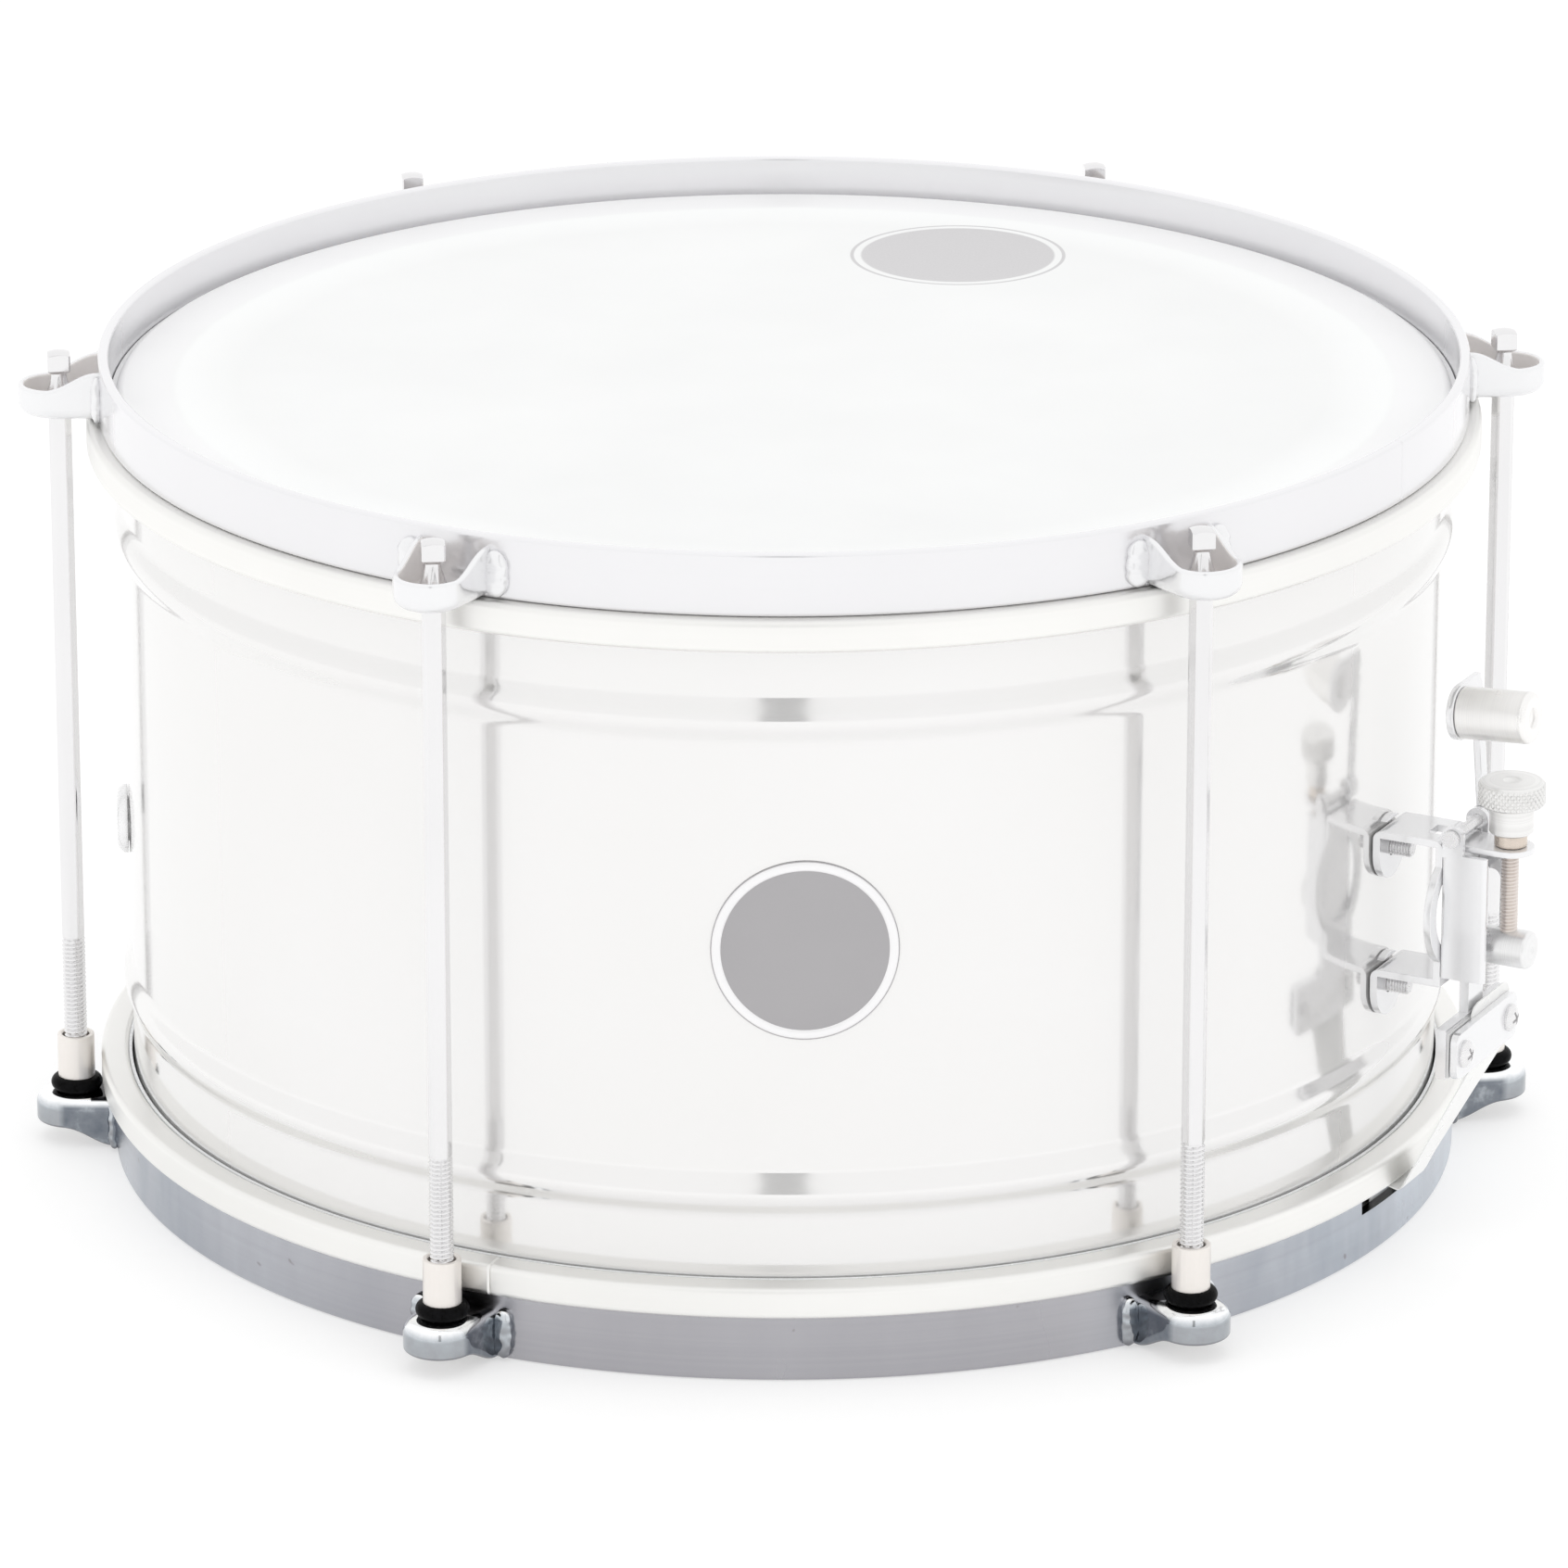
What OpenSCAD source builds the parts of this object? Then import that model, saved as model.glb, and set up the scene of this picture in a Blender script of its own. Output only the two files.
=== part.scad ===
// Snare drum with strap hoops, single-ended tension rods and a throw-off strainer.
// Origin: centre of the bottom rim plane. +Z is up and the badge faces -Y.
// Azimuths are measured from the badge (-Y) and grow towards +X.

/* [Shell] */
// Height of the whole drum, rim to rim
drum_h = 219.5; // [216:0.5:224]
// Outer radius of the shell between its beads
shell_r = 174.4; // [174:0.1:174.8]
// Thickness of the shell sheet
shell_wall = 1.6; // [1.2:0.1:2]
// Height of the lower bead's middle above the floor
low_bead_z = 48.4; // [46:0.2:52]
// Height of the upper bead's middle above the floor
high_bead_z = 174.4; // [170:0.2:177]
// How far a bead stands out of the shell
bead_out = 2.2; // [1.5:0.1:2.4]
// Half of a bead's height
bead_half = 6.5; // [5:0.5:7]

/* [Hoops] */
// Outer radius of the strap hoops
hoop_r = 179.8; // [179.4:0.1:180.2]
// Thickness of the strap hoops
hoop_wall = 2.8; // [2.4:0.1:2.9]
// Height of the batter side hoop
top_hoop_h = 16.3; // [15:0.1:17]
// Height of the snare side hoop
low_hoop_h = 17.8; // [17:0.1:19]
// Outer radius of the flesh hoops
flesh_r = 183.2; // [182.5:0.1:184]
// Height of the flesh hoops
flesh_h = 8.5; // [8:0.1:9]

/* [Heads] */
// Depth of the batter head below its rim
batter_recess = 9.5; // [9:0.1:10]
// Depth of the snare side head above its rim
snare_recess = 9.4; // [9:0.1:10]
// Thickness of a head film
film_t = 0.4; // [0.3:0.05:0.5]

/* [Tension rods] */
// Radius of the circle that the rods stand on
rod_pitch_r = 190; // [189.5:0.1:190.5]
// Number of tension rods
rod_count = 6; // [6]
// Azimuth of the first rod
rod_start = 30; // [30]
// Radius over the corners of the six-sided rod shaft
rod_hex_r = 3.1; // [3:0.05:3.2]
// Radius of the rod's threaded end
rod_thread_r = 2.95; // [2.9:0.01:2.95]
// Height where the threaded end begins
rod_thread_z = 56.5; // [50:0.5:60]
// Width across the flats of the square key head
key_head_w = 5.9; // [5.7:0.1:6.1]

/* [Claws] */
// Half of a claw's width
claw_half = 9.8; // [9.4:0.1:10]
// Thickness of a claw's strap
claw_wall = 1.7; // [1.5:0.1:1.8]
// Height of a claw where it meets the hoop
claw_h = 13.2; // [12.8:0.1:13.4]
// Height of a claw at its outer end
claw_end_h = 8.2; // [7.8:0.1:8.6]
// Thickness of a claw's floor
claw_floor = 2; // [1.8:0.1:2.2]

/* [Snare strainer] */
// Azimuth of the strainer
strainer_az = 60; // [60]
// Thickness of the strainer's sheet steel
sheet_t = 2; // [1.8:0.1:2]
// Height of the upper strainer bolt
bolt_high_z = 108; // [107.5:0.1:108.5]
// Height of the lower strainer bolt
bolt_low_z = 70.2; // [69.5:0.1:70.5]
// Distance of the lever pivot from the drum's axis
pivot_r = 197; // [196.8:0.1:197.2]
// Height of the lever pivot
pivot_z = 116; // [115.8:0.1:116.2]
// Lean of the closed lever towards the drum
lever_lean = 4.3; // [3:0.1:5]
// Distance from the pivot to the lever's grip
lever_len = 31.3; // [31:0.1:33]
// Distance of the adjusting screw from the drum's axis
screw_r = 209.6; // [209.4:0.1:209.8]
// Radius of the adjusting screw
screw_thread_r = 2.3; // [2.2:0.05:2.4]
// Radius of the knurled knob
knob_r = 8.7; // [8.4:0.1:8.8]
// Height of the snare clamps' middle
clamp_z = 60.2; // [59.8:0.1:60.6]
// Spacing of the two screws of the throw-off clamp
clamp_screw_gap = 29.6; // [29:0.1:30.5]
// Spacing of the two screws of the butt clamp
butt_screw_gap = 25; // [25:0.1:25.4]

/* [Snares] */
// Number of snare strands
strand_count = 20; // [16:2:20]
// Distance between strands
strand_pitch = 2.1; // [2:0.05:2.1]
// Outer radius of a strand
strand_r = 0.85; // [0.7:0.05:0.9]
// Distance of the strands' ends from the drum's axis
strand_end_r = 156; // [150:1:156]

/* [Trim] */
// Height of the badge's middle
badge_z = 114; // [105:0.5:120]
// Radius of the badge
badge_r = 23.5; // [20:0.5:24]
// Azimuth of the badge
badge_az = -1.2; // [-5:0.1:5]
// Azimuth of the air vent
vent_az = -89.5; // [-89.5]
// Height of the air vent
vent_z = 90.5; // [85:0.5:100]

/* [Hidden] */
$fn = 96;

top_hoop_z = drum_h - top_hoop_h;
shell_top = drum_h - batter_recess - film_t - 0.1;
shell_low = snare_recess + film_t + 0.1;
edge_r = 3.5;
edge_c = shell_r - edge_r;
film_c = edge_c + 0.5;
film_in_r = edge_r + 0.1;
flesh_in_r = film_c + film_in_r + film_t + 0.1;
film_lip_r = flesh_in_r + 2.4;
film_lip_depth = 4.6;
claw_c = rod_pitch_r + 1.1;
claw_z_top = top_hoop_z + 0.2;
claw_z_low = snare_recess + 4;
seat_z = claw_z_top + claw_floor;
nut_r = 4.95;
nut_top = claw_z_low + 15.9;
butt_az = strainer_az + 180;
arm_high = bolt_high_z + 6.5;
arm_low = bolt_low_z + 6.3;
bracket_half = 8.5;
tab_r = shell_r + 0.3;
plate_r = 194.3;
housing_low = 77.5;
housing_top = 111.5;
housing_half = 9;
housing_wall = 1.6;
housing_r = 206.6;
ear_z = 111.8;
ear_t = 1.7;
knob_z = 117.1;
knurl_z = 124.7;
knob_top = 130.9;
cross_z = 85.6;
cross_r = 5;
jaw_r = 198.3;
jaw_t = 2.8;
pad_t = 0.7;
plate_gap = 4.1;
plate_t = 2;
clamp_half_h = 6.2;
clamp_half_w = 19.5;
butt_jaw_r = 184.8;
butt_half_w = 16;
strap_t = 0.4;
strap_top = 69.4;
gate_w = 39;
gate_z = 15.7;
wire_z = snare_recess - 0.3 - strand_r;
end_plate_z = wire_z - strand_r;
end_plate_t = 0.8;
end_plate_out = 166;
end_plate_in = 145;

// Places children at an azimuth, with +X outwards, +Y along the rim and +Z up.
module around(az) { rotate([0, 0, az - 90]) children(); }
// Places children with +Z pointing outwards from the drum's axis at a height and an offset.
module outwards(r, t, z) { translate([r, t, z]) rotate([0, 90, 0]) children(); }
// A bar between two radii, with a half width and two heights.
module bar(r0, r1, half, z0, z1) { translate([r0, -half, z0]) cube([r1 - r0, 2 * half, z1 - z0]); }
module at_rods() { for (i = [0:rod_count - 1]) around(rod_start + i * 360 / rod_count) children(); }

// Points of a circular arc.
function arc(cx, cy, r, a0, a1, n) =
    [for (i = [0:n]) [cx + r * cos(a0 + (a1 - a0) * i / n), cy + r * sin(a0 + (a1 - a0) * i / n)]];
// Points of a bead's outline from its lower to its upper end, at a base radius.
bead_arc_r = (bead_half * bead_half + bead_out * bead_out) / (2 * bead_out);
bead_arc_a = asin(bead_half / bead_arc_r);
function bead(r, z) = arc(r + bead_out - bead_arc_r, z, bead_arc_r, -bead_arc_a, bead_arc_a, 12);
// A rectangle whose four corners are rounded, as an outline.
function soft_rect(x0, y0, x1, y1, r, n = 4) = concat(
    arc(x1 - r, y0 + r, r, -90, 0, n), arc(x1 - r, y1 - r, r, 0, 90, n),
    arc(x0 + r, y1 - r, r, 90, 180, n), arc(x0 + r, y0 + r, r, 180, 270, n));
function reversed(list) = [for (i = [len(list) - 1:-1:0]) list[i]];
// A ribbon's outline: a centre line given a thickness.
function unit(v) = v / norm(v);
function side_at(p, i) = let (
    a = i > 0 ? unit(p[i] - p[i - 1]) : unit(p[1] - p[0]),
    b = i < len(p) - 1 ? unit(p[i + 1] - p[i]) : a,
    m = unit(a + b)) [-m[1], m[0]] / max(0.5, m * a);
function ribbon(p, t) = concat([for (i = [0:len(p) - 1]) p[i] + side_at(p, i) * t / 2],
    [for (i = [len(p) - 1:-1:0]) p[i] - side_at(p, i) * t / 2]);

// ---- Shell and trim ----
module shell() {
    outer = concat(arc(edge_c, shell_low + edge_r, edge_r, -90, 0, 8), bead(shell_r, low_bead_z),
        bead(shell_r, high_bead_z), arc(edge_c, shell_top - edge_r, edge_r, 0, 90, 8));
    inner_r = edge_r - shell_wall;
    inner = concat(arc(edge_c, shell_low + edge_r, inner_r, -90, 0, 8),
        bead(shell_r - shell_wall, low_bead_z), bead(shell_r - shell_wall, high_bead_z),
        arc(edge_c, shell_top - edge_r, inner_r, 0, 90, 8));
    color("gainsboro") difference() {
        rotate_extrude() polygon(concat(outer, reversed(inner)));
        around(vent_az) outwards(shell_r - 5, 0, vent_z) cylinder(h = 10, r = 6.2);
        for (az = [strainer_az, butt_az], z = [bolt_low_z, bolt_high_z])
            around(az) outwards(shell_r - 5, 0, z) cylinder(h = 10, r = 2.7);
    }
}
module badge() {
    color("silver") intersection() {
        difference() {
            translate([0, 0, badge_z - badge_r - 1]) cylinder(h = 2 * badge_r + 2, r = shell_r + 0.9);
            translate([0, 0, badge_z - badge_r - 2]) cylinder(h = 2 * badge_r + 4, r = shell_r + 0.1);
        }
        around(badge_az) outwards(shell_r - 8, 0, badge_z) cylinder(h = 12, r = badge_r);
    }
}
module air_vent() {
    // An eyelet: outer dome, tube through the shell and inner flange.
    profile = concat([[4.6, -4.4], [8.4, -4.4], [8.4, -3.6], [6, -3.4], [6, 0.35], [9.2, 0.35]],
        arc(6.6, 0.5, 2.6, 4, 90, 5), arc(5.8, 1.9, 1.2, 90, 180, 4));
    color("silver") around(vent_az) outwards(shell_r, 0, vent_z) rotate_extrude() polygon(profile);
}

// ---- Heads and hoops ----
// A head's film: flat skin, rounded edge, collar and lip, drawn for the batter side.
module film(top) {
    lip = top - film_t - film_in_r - film_lip_depth;
    rotate_extrude() polygon(concat([[0, top - film_t], [0, top]],
        reversed(arc(film_c, top - film_t - film_in_r, film_in_r + film_t, 0, 90, 8)),
        [[film_c + film_in_r + film_t, lip], [film_lip_r, lip], [film_lip_r, lip - 0.8],
         [film_c + film_in_r, lip - 0.8]],
        arc(film_c, top - film_t - film_in_r, film_in_r, 0, 90, 8)));
}
// A flesh hoop with the groove that holds its film's lip, drawn for the batter side.
module flesh_hoop(z, lip) {
    rotate_extrude() difference() {
        polygon(soft_rect(flesh_in_r, z, flesh_r, z + flesh_h, 1.4));
        translate([flesh_in_r - 1, lip - 0.85]) square([film_lip_r - flesh_in_r + 1.05, 0.9]);
    }
}
top_lip = drum_h - batter_recess - film_t - film_in_r - film_lip_depth;
low_lip = snare_recess + film_t + film_in_r + 8.6 + 0.8;
module batter_head() { color("whitesmoke") film(drum_h - batter_recess); }
module batter_flesh_hoop() { color("lightgray") flesh_hoop(top_hoop_z - flesh_h, top_lip); }
module batter_hoop() {
    color("silver") rotate_extrude()
        polygon(soft_rect(hoop_r - hoop_wall, top_hoop_z, hoop_r, drum_h, 0.7));
}
module snare_side_head() {
    z0 = snare_recess;
    c = z0 + film_t + film_in_r;
    lip = low_lip - 0.8;
    color("whitesmoke") rotate_extrude() polygon(concat([[0, z0 + film_t], [0, z0]],
        arc(film_c, c, film_in_r + film_t, -90, 0, 8),
        [[film_c + film_in_r + film_t, lip], [film_lip_r, lip], [film_lip_r, lip + 0.8],
         [film_c + film_in_r, lip + 0.8]],
        reversed(arc(film_c, c, film_in_r, -90, 0, 8))));
}
module snare_side_flesh_hoop() { color("lightgray") flesh_hoop(low_hoop_h, low_lip); }
module snare_side_hoop() {
    color("slategray") difference() {
        rotate_extrude() polygon(soft_rect(hoop_r - hoop_wall, 0, hoop_r, low_hoop_h, 0.7));
        for (az = [strainer_az, butt_az]) around(az)
            translate([hoop_r - 10, -gate_w / 2, gate_z]) cube([20, gate_w, 10]);
    }
}

// ---- Claws ----
// Top edge of a claw: low at its outer end, rising in an S towards the hoop.
function claw_rise(x) = let (s = min(1, max(0, (claw_c + 2.5 - x) / 14.2)))
    claw_end_h + (claw_h - claw_end_h) * (0.5 - 0.5 * cos(180 * s));
// A claw on the batter side, with its floor's underside at z = 0.
module claw(hole_r) {
    soft = 3.4;
    side = concat([[0, 0]], arc(claw_half - soft, soft, soft, -90, 0, 6), [[claw_half, claw_h], [0, claw_h]]);
    in = claw_half - claw_wall;
    edge = [for (i = [0:14]) let (x = hoop_r - 3 + i * (claw_c + 3 - hoop_r + 3) / 14) [x, claw_rise(x)]];
    difference() {
        union() {
            translate([claw_c, 0, 0]) rotate_extrude(angle = 180, start = -90) polygon(side);
            for (s = [0, 1]) mirror([0, s, 0]) translate([hoop_r - 2, 0, 0]) rotate([90, 0, 90])
                linear_extrude(claw_c - hoop_r + 2) polygon(side);
        }
        translate([claw_c, 0, claw_floor]) cylinder(h = claw_h, r = in);
        translate([hoop_r - 5, -in, claw_floor]) cube([claw_c - hoop_r + 5, 2 * in, claw_h]);
        translate([rod_pitch_r, 0, -1]) cylinder(h = 5, r = hole_r);
        translate([0, 20, 0]) rotate([90, 0, 0]) linear_extrude(40)
            polygon(concat(edge, [[claw_c + 20, claw_end_h], [claw_c + 20, 30], [hoop_r - 3, 30]]));
        rotate([0, 0, 90]) translate([0, 0, -5]) cylinder(h = 30, r = hoop_r, $fn = 180);
    }
}
module batter_hoop_claws() {
    color("silver") at_rods() translate([0, 0, claw_z_top]) claw(3.4);
}
module snare_side_hoop_claws() {
    color("slategray") at_rods() translate([0, 0, claw_z_low]) mirror([0, 0, 1]) claw(nut_r + 0.15);
}

// ---- Tension rods ----
module tension_rod(i) {
    flange = seat_z + 1.3;
    color("silver") around(rod_start + i * 360 / rod_count) translate([rod_pitch_r, 0, 0]) {
        rotate([0, 0, -23 - 61 * i]) {
            translate([0, 0, rod_thread_z]) cylinder(h = flange - rod_thread_z + 0.2, r = rod_hex_r, $fn = 6);
            intersection() {
                translate([-key_head_w / 2, -key_head_w / 2, flange + 6])
                    cube([key_head_w, key_head_w, drum_h - 0.1 - flange - 6]);
                translate([0, 0, drum_h - 0.1 - 9]) sphere(r = 9);
                translate([0, 0, flange]) cylinder(h = 30, r = key_head_w * 0.66);
            }
        }
        translate([0, 0, claw_z_low + 3]) cylinder(h = rod_thread_z - claw_z_low - 2.9, r = rod_thread_r);
        translate([0, 0, flange]) cylinder(h = 1.2, r = 4.8);
        translate([0, 0, flange + 1.1]) cylinder(h = 3, r1 = 3.2, r2 = 2.2);
        translate([0, 0, flange + 4]) cylinder(h = 2.2, r = 2.2);
    }
}
module rod_washers() {
    color("gray") at_rods() translate([rod_pitch_r, 0, seat_z]) difference() {
        cylinder(h = 1.2, r = 5.6);
        translate([0, 0, -1]) cylinder(h = 4, r = 3.3);
    }
}
module barrel_nuts() {
    under = claw_z_low - claw_floor;
    color("tan") at_rods() translate([rod_pitch_r, 0, 0]) difference() {
        union() {
            rotate_extrude() polygon([[0, under - 3], [nut_r, under - 3], [nut_r, nut_top - 0.5],
                [nut_r - 0.5, nut_top], [0, nut_top]]);
            translate([0, 0, under - 3.5]) cylinder(h = 3.4, r = 6.4, $fn = 6);
        }
        translate([0, 0, claw_z_low + 1]) cylinder(h = 40, r = rod_thread_r + 0.05);
        translate([0, 0, nut_top - 2.5]) cylinder(h = 5, r = 3.6);
    }
}
module rubber_rings() {
    color("black") at_rods() translate([rod_pitch_r, 0, claw_z_low + 2.05]) difference() {
        rotate_extrude() translate([4.85, 0]) circle(r = 2.05);
        translate([0, 0, -5]) cylinder(h = 10, r = nut_r + 0.02);
    }
}

// ---- Strainer: fixed parts ----
// A mounting tab against the shell with its bolt hole, joined to a horizontal arm above it.
module tab_and_arm(arm_top, bolt_z) {
    difference() {
        union() {
            bar(tab_r, plate_r, bracket_half, arm_top - sheet_t, arm_top);
            bar(tab_r, tab_r + sheet_t, bracket_half, bolt_z, arm_top - 1);
            outwards(tab_r, 0, bolt_z) cylinder(h = sheet_t, r = bracket_half);
        }
        outwards(tab_r - 3, 0, bolt_z) cylinder(h = 8, r = 2.55);
        bend_cut(tab_r, arm_top, 1);
    }
}
// Rounds the outer corner of a bend at a radius and height; side 1 faces in and -1 faces out.
module bend_cut(r, z, side) {
    b = 2.6;
    translate([r + side * b, -30, z - b]) rotate([-90, 0, 0]) difference() {
        translate([side > 0 ? -b - 1 : 0, -b - 1, 0]) cube([b + 1, b + 1, 60]);
        translate([0, 0, -1]) cylinder(h = 62, r = b);
    }
}
module strainer_bracket() {
    mid = (arm_high + arm_low - sheet_t) / 2;
    color("silver") around(strainer_az) difference() {
        union() {
            tab_and_arm(arm_high, bolt_high_z);
            tab_and_arm(arm_low, bolt_low_z);
            bar(plate_r - sheet_t, plate_r, bracket_half, arm_low - sheet_t, arm_high);
            outwards(plate_r - sheet_t, 0, mid) cylinder(h = sheet_t, r = 15.5);
        }
        outwards(plate_r - 5, 0, mid) cylinder(h = 10, r = 11.5);
        bend_cut(plate_r, arm_high, -1);
        bar(187.8, 193, 3.2, arm_high - 5, arm_high + 5);
    }
}
module bolt_set(az) {
    around(az) for (z = [bolt_low_z, bolt_high_z]) outwards(shell_r, 0, z) {
        translate([0, 0, -2]) cylinder(h = 10, r = 2.4);
        intersection() {
            translate([0, 0, -5.2]) cylinder(h = 2.2, r = 4.8);
            translate([0, 0, 2.2]) sphere(r = 7.6);
        }
        translate([0, 0, -3.1]) cylinder(h = 1.3, r = 2.4);
    }
}
module bolt_washer_set(az) {
    around(az) for (z = [bolt_low_z, bolt_high_z]) outwards(shell_r - 3, 0, z) difference() {
        cylinder(h = 1, r = 6);
        translate([0, 0, -1]) cylinder(h = 3, r = 2.6);
    }
}
module strainer_bolts() { color("silver") bolt_set(strainer_az); }
module strainer_bolt_washers() { color("gray") bolt_washer_set(strainer_az); }
module strainer_housing() {
    in = housing_half - housing_wall;
    back = plate_r + 1.2;
    ear_r = 3.1;
    ear_back = 2.6;
    color("silver") around(strainer_az) difference() {
        union() {
            translate([0, 0, housing_low]) linear_extrude(housing_top - housing_low)
                polygon(soft_rect(plate_r, -housing_half, housing_r, housing_half, 1));
            for (s = [-1, 1]) translate([pivot_r, s * (in + housing_wall / 2), 0]) {
                translate([-ear_back, -housing_wall / 2, housing_top - 1])
                    cube([ear_back + ear_r, housing_wall, pivot_z - housing_top + 1]);
                translate([0, 0, pivot_z]) rotate([90, 0, 0])
                    cylinder(h = housing_wall, r = ear_r, center = true);
            }
        }
        bar(back, housing_r + 5, in, housing_low - 1, housing_top + 12);
        translate([pivot_r, 0, pivot_z]) rotate([90, 0, 0]) cylinder(h = 40, r = 1.52, center = true);
        // A window in the far wall.
        for (z = [86, 101]) translate([201.5, housing_half, z]) rotate([90, 0, 0])
            cylinder(h = 6, r = 2.4, center = true);
        translate([199.1, in - 1, 86]) cube([4.8, 4, 15]);
    }
}
module lever_pivot_pin() {
    color("gray") around(strainer_az) translate([pivot_r, 0, pivot_z]) rotate([-90, 0, 0]) {
        translate([0, 0, -9.6]) cylinder(h = 23.6, r = 1.5);
        translate([0, 0, -10.3]) cylinder(h = 1.1, r = 2.3);
        translate([0, 0, 13.7]) cylinder(h = 0.9, r = 2.3);
    }
}

// ---- Strainer: lever ----
// Places children in the closed lever's own frame: origin on the pivot, +Z up the lever.
module on_lever() {
    around(strainer_az) translate([pivot_r, 0, pivot_z]) rotate([0, -lever_lean, 0]) children();
}
module throwoff_lever() {
    strip_in = 9.4;
    strip_out = 13.2;
    color("silver") on_lever() difference() {
        union() {
            translate([-1, strip_in, 0]) cube([2, strip_out - strip_in, lever_len]);
            translate([-1, 0, lever_len]) rotate([0, 90, 0]) cylinder(h = 2, r = 7.2);
            translate([-1, 0, lever_len - 5]) cube([2, strip_out - 1, 12.2]);
            translate([-1, strip_out - 4, lever_len + 3.2]) rotate([0, 90, 0]) cylinder(h = 2, r = 4);
            translate([0, strip_in, 0]) rotate([-90, 0, 0]) cylinder(h = strip_out - strip_in, r = 3.1);
        }
        translate([0, 0, 0]) rotate([90, 0, 0]) cylinder(h = 60, r = 1.55, center = true);
        translate([-5, 0, lever_len]) rotate([0, 90, 0]) cylinder(h = 10, r = 2);
    }
}
module lever_grip() {
    color("lightgray") on_lever() translate([1, 0, lever_len]) rotate([0, 90, 0]) difference() {
        rotate_extrude() polygon(concat([[0, 0], [6.5, 0], [6.8, 0.4], [6.8, 18]],
            arc(5.4, 18, 1.4, 0, 90, 4), [[2.6, 19.4], [2.2, 18.9], [0, 18.9]]));
        translate([0, 0, -1]) cylinder(h = 11, r = 1.9);
    }
}
module lever_grip_rivet() {
    color("silver") on_lever() translate([-2.2, 0, lever_len]) rotate([0, 90, 0]) {
        translate([0, 0, 0.6]) cylinder(h = 11.5, r = 1.85);
        intersection() {
            cylinder(h = 1.2, r = 3.4);
            translate([0, 0, 5.6]) sphere(r = 5.8);
        }
    }
}

// ---- Strainer: carriage, knob and slider ----
module carriage() {
    in_r = plate_r + 1.5;
    half = housing_half - housing_wall - 0.3;
    ear_half = 6.2;
    color("silver") around(strainer_az) difference() {
        union() {
            bar(in_r, in_r + 2.2, half, 84, ear_z + ear_t);
            bar(in_r, screw_r, ear_half, ear_z, ear_z + ear_t);
            translate([screw_r, 0, ear_z]) cylinder(h = ear_t, r = ear_half);
        }
        translate([screw_r, 0, ear_z - 5]) cylinder(h = 12, r = screw_thread_r + 0.06);
    }
}
module adjusting_knob() {
    color("lightgray") around(strainer_az) translate([screw_r, 0, 0]) difference() {
        rotate_extrude() polygon(concat([[0, knob_z], [5.3, knob_z], [5.7, knob_z + 0.4], [5.7, knurl_z],
            [knob_r - 0.8, knurl_z], [knob_r, knurl_z + 0.8], [knob_r, knob_top - 1], [knob_r - 1, knob_top]],
            [[0, knob_top + 0.5]]));
        translate([0, 0, knob_z - 1]) cylinder(h = 10, r = screw_thread_r + 0.02);
    }
}
module knob_bush() {
    color("peru") around(strainer_az) translate([screw_r, 0, ear_z + ear_t + 0.12]) difference() {
        cylinder(h = knob_z - ear_z - ear_t - 0.12, r = 4.25);
        translate([0, 0, -1]) cylinder(h = 10, r = screw_thread_r + 0.02);
    }
}
module adjusting_screw() {
    low = cross_z - 3.2;
    color("sienna") around(strainer_az) translate([screw_r, 0, low])
        cylinder(h = knob_z + 8.8 - low, r = screw_thread_r);
}
slider_in = plate_r + 4;
module cross_nut() {
    color("lightgray") around(strainer_az) difference() {
        union() {
            outwards(203.6, 0, cross_z) rotate_extrude()
                polygon(concat([[0, 0], [cross_r - 0.4, 0], [cross_r, 0.4], [cross_r, 11.4]],
                    arc(cross_r - 1.2, 11.4, 1.2, 0, 90, 4), [[0, 12.6]]));
            outwards(slider_in + 2.6, 0, cross_z) cylinder(h = 3, r = 3);
        }
        translate([screw_r, 0, cross_z - 8]) cylinder(h = 16, r = screw_thread_r + 0.05);
    }
}
// The block that a clamp's plate closes on, at a radius and with a half width.
module jaw(r, half) { bar(r, r + jaw_t, half, clamp_z - clamp_half_h, clamp_z + clamp_half_h + 1); }
module jaw_holes(r, gap) {
    for (t = [-1, 1]) outwards(r - 5, t * gap / 2, clamp_z) cylinder(h = 20, r = 1.95);
}
module slider_bar() {
    color("silver") around(strainer_az) difference() {
        union() {
            bar(slider_in, slider_in + 2.6, 4.7, clamp_z, 104);
            bar(slider_in, slider_in + 2.6, housing_half - housing_wall - 0.3, 80, 104);
            jaw(jaw_r, clamp_half_w);
        }
        jaw_holes(jaw_r, clamp_screw_gap);
    }
}
module pad_on(r, half, gap) {
    difference() {
        bar(r + jaw_t, r + jaw_t + pad_t, half - 0.5, clamp_z - clamp_half_h + 0.3, clamp_z + clamp_half_h);
        jaw_holes(r, gap);
    }
}
module plate_on(r, half, gap) {
    difference() {
        translate([r + plate_gap, 0, 0]) rotate([90, 0, 90]) linear_extrude(plate_t)
            polygon(soft_rect(-half, clamp_z - clamp_half_h, half, clamp_z + clamp_half_h, 2.5));
        jaw_holes(r, gap);
    }
}
module screws_on(r, gap) {
    for (t = [-1, 1]) outwards(r + plate_gap + plate_t, t * gap / 2, clamp_z) difference() {
        union() {
            translate([0, 0, -7]) cylinder(h = 7.5, r = 1.9);
            intersection() {
                cylinder(h = 2.1, r = 3.6);
                translate([0, 0, -3.2]) sphere(r = 5.3);
            }
        }
        for (a = [20, 110]) rotate([0, 0, a]) translate([-1.9, -0.4, 1]) cube([3.8, 0.8, 3]);
    }
}
module clamp_pad() { color("lightgray") around(strainer_az) pad_on(jaw_r, clamp_half_w, clamp_screw_gap); }
module clamp_plate() { color("silver") around(strainer_az) plate_on(jaw_r, clamp_half_w, clamp_screw_gap); }
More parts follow.
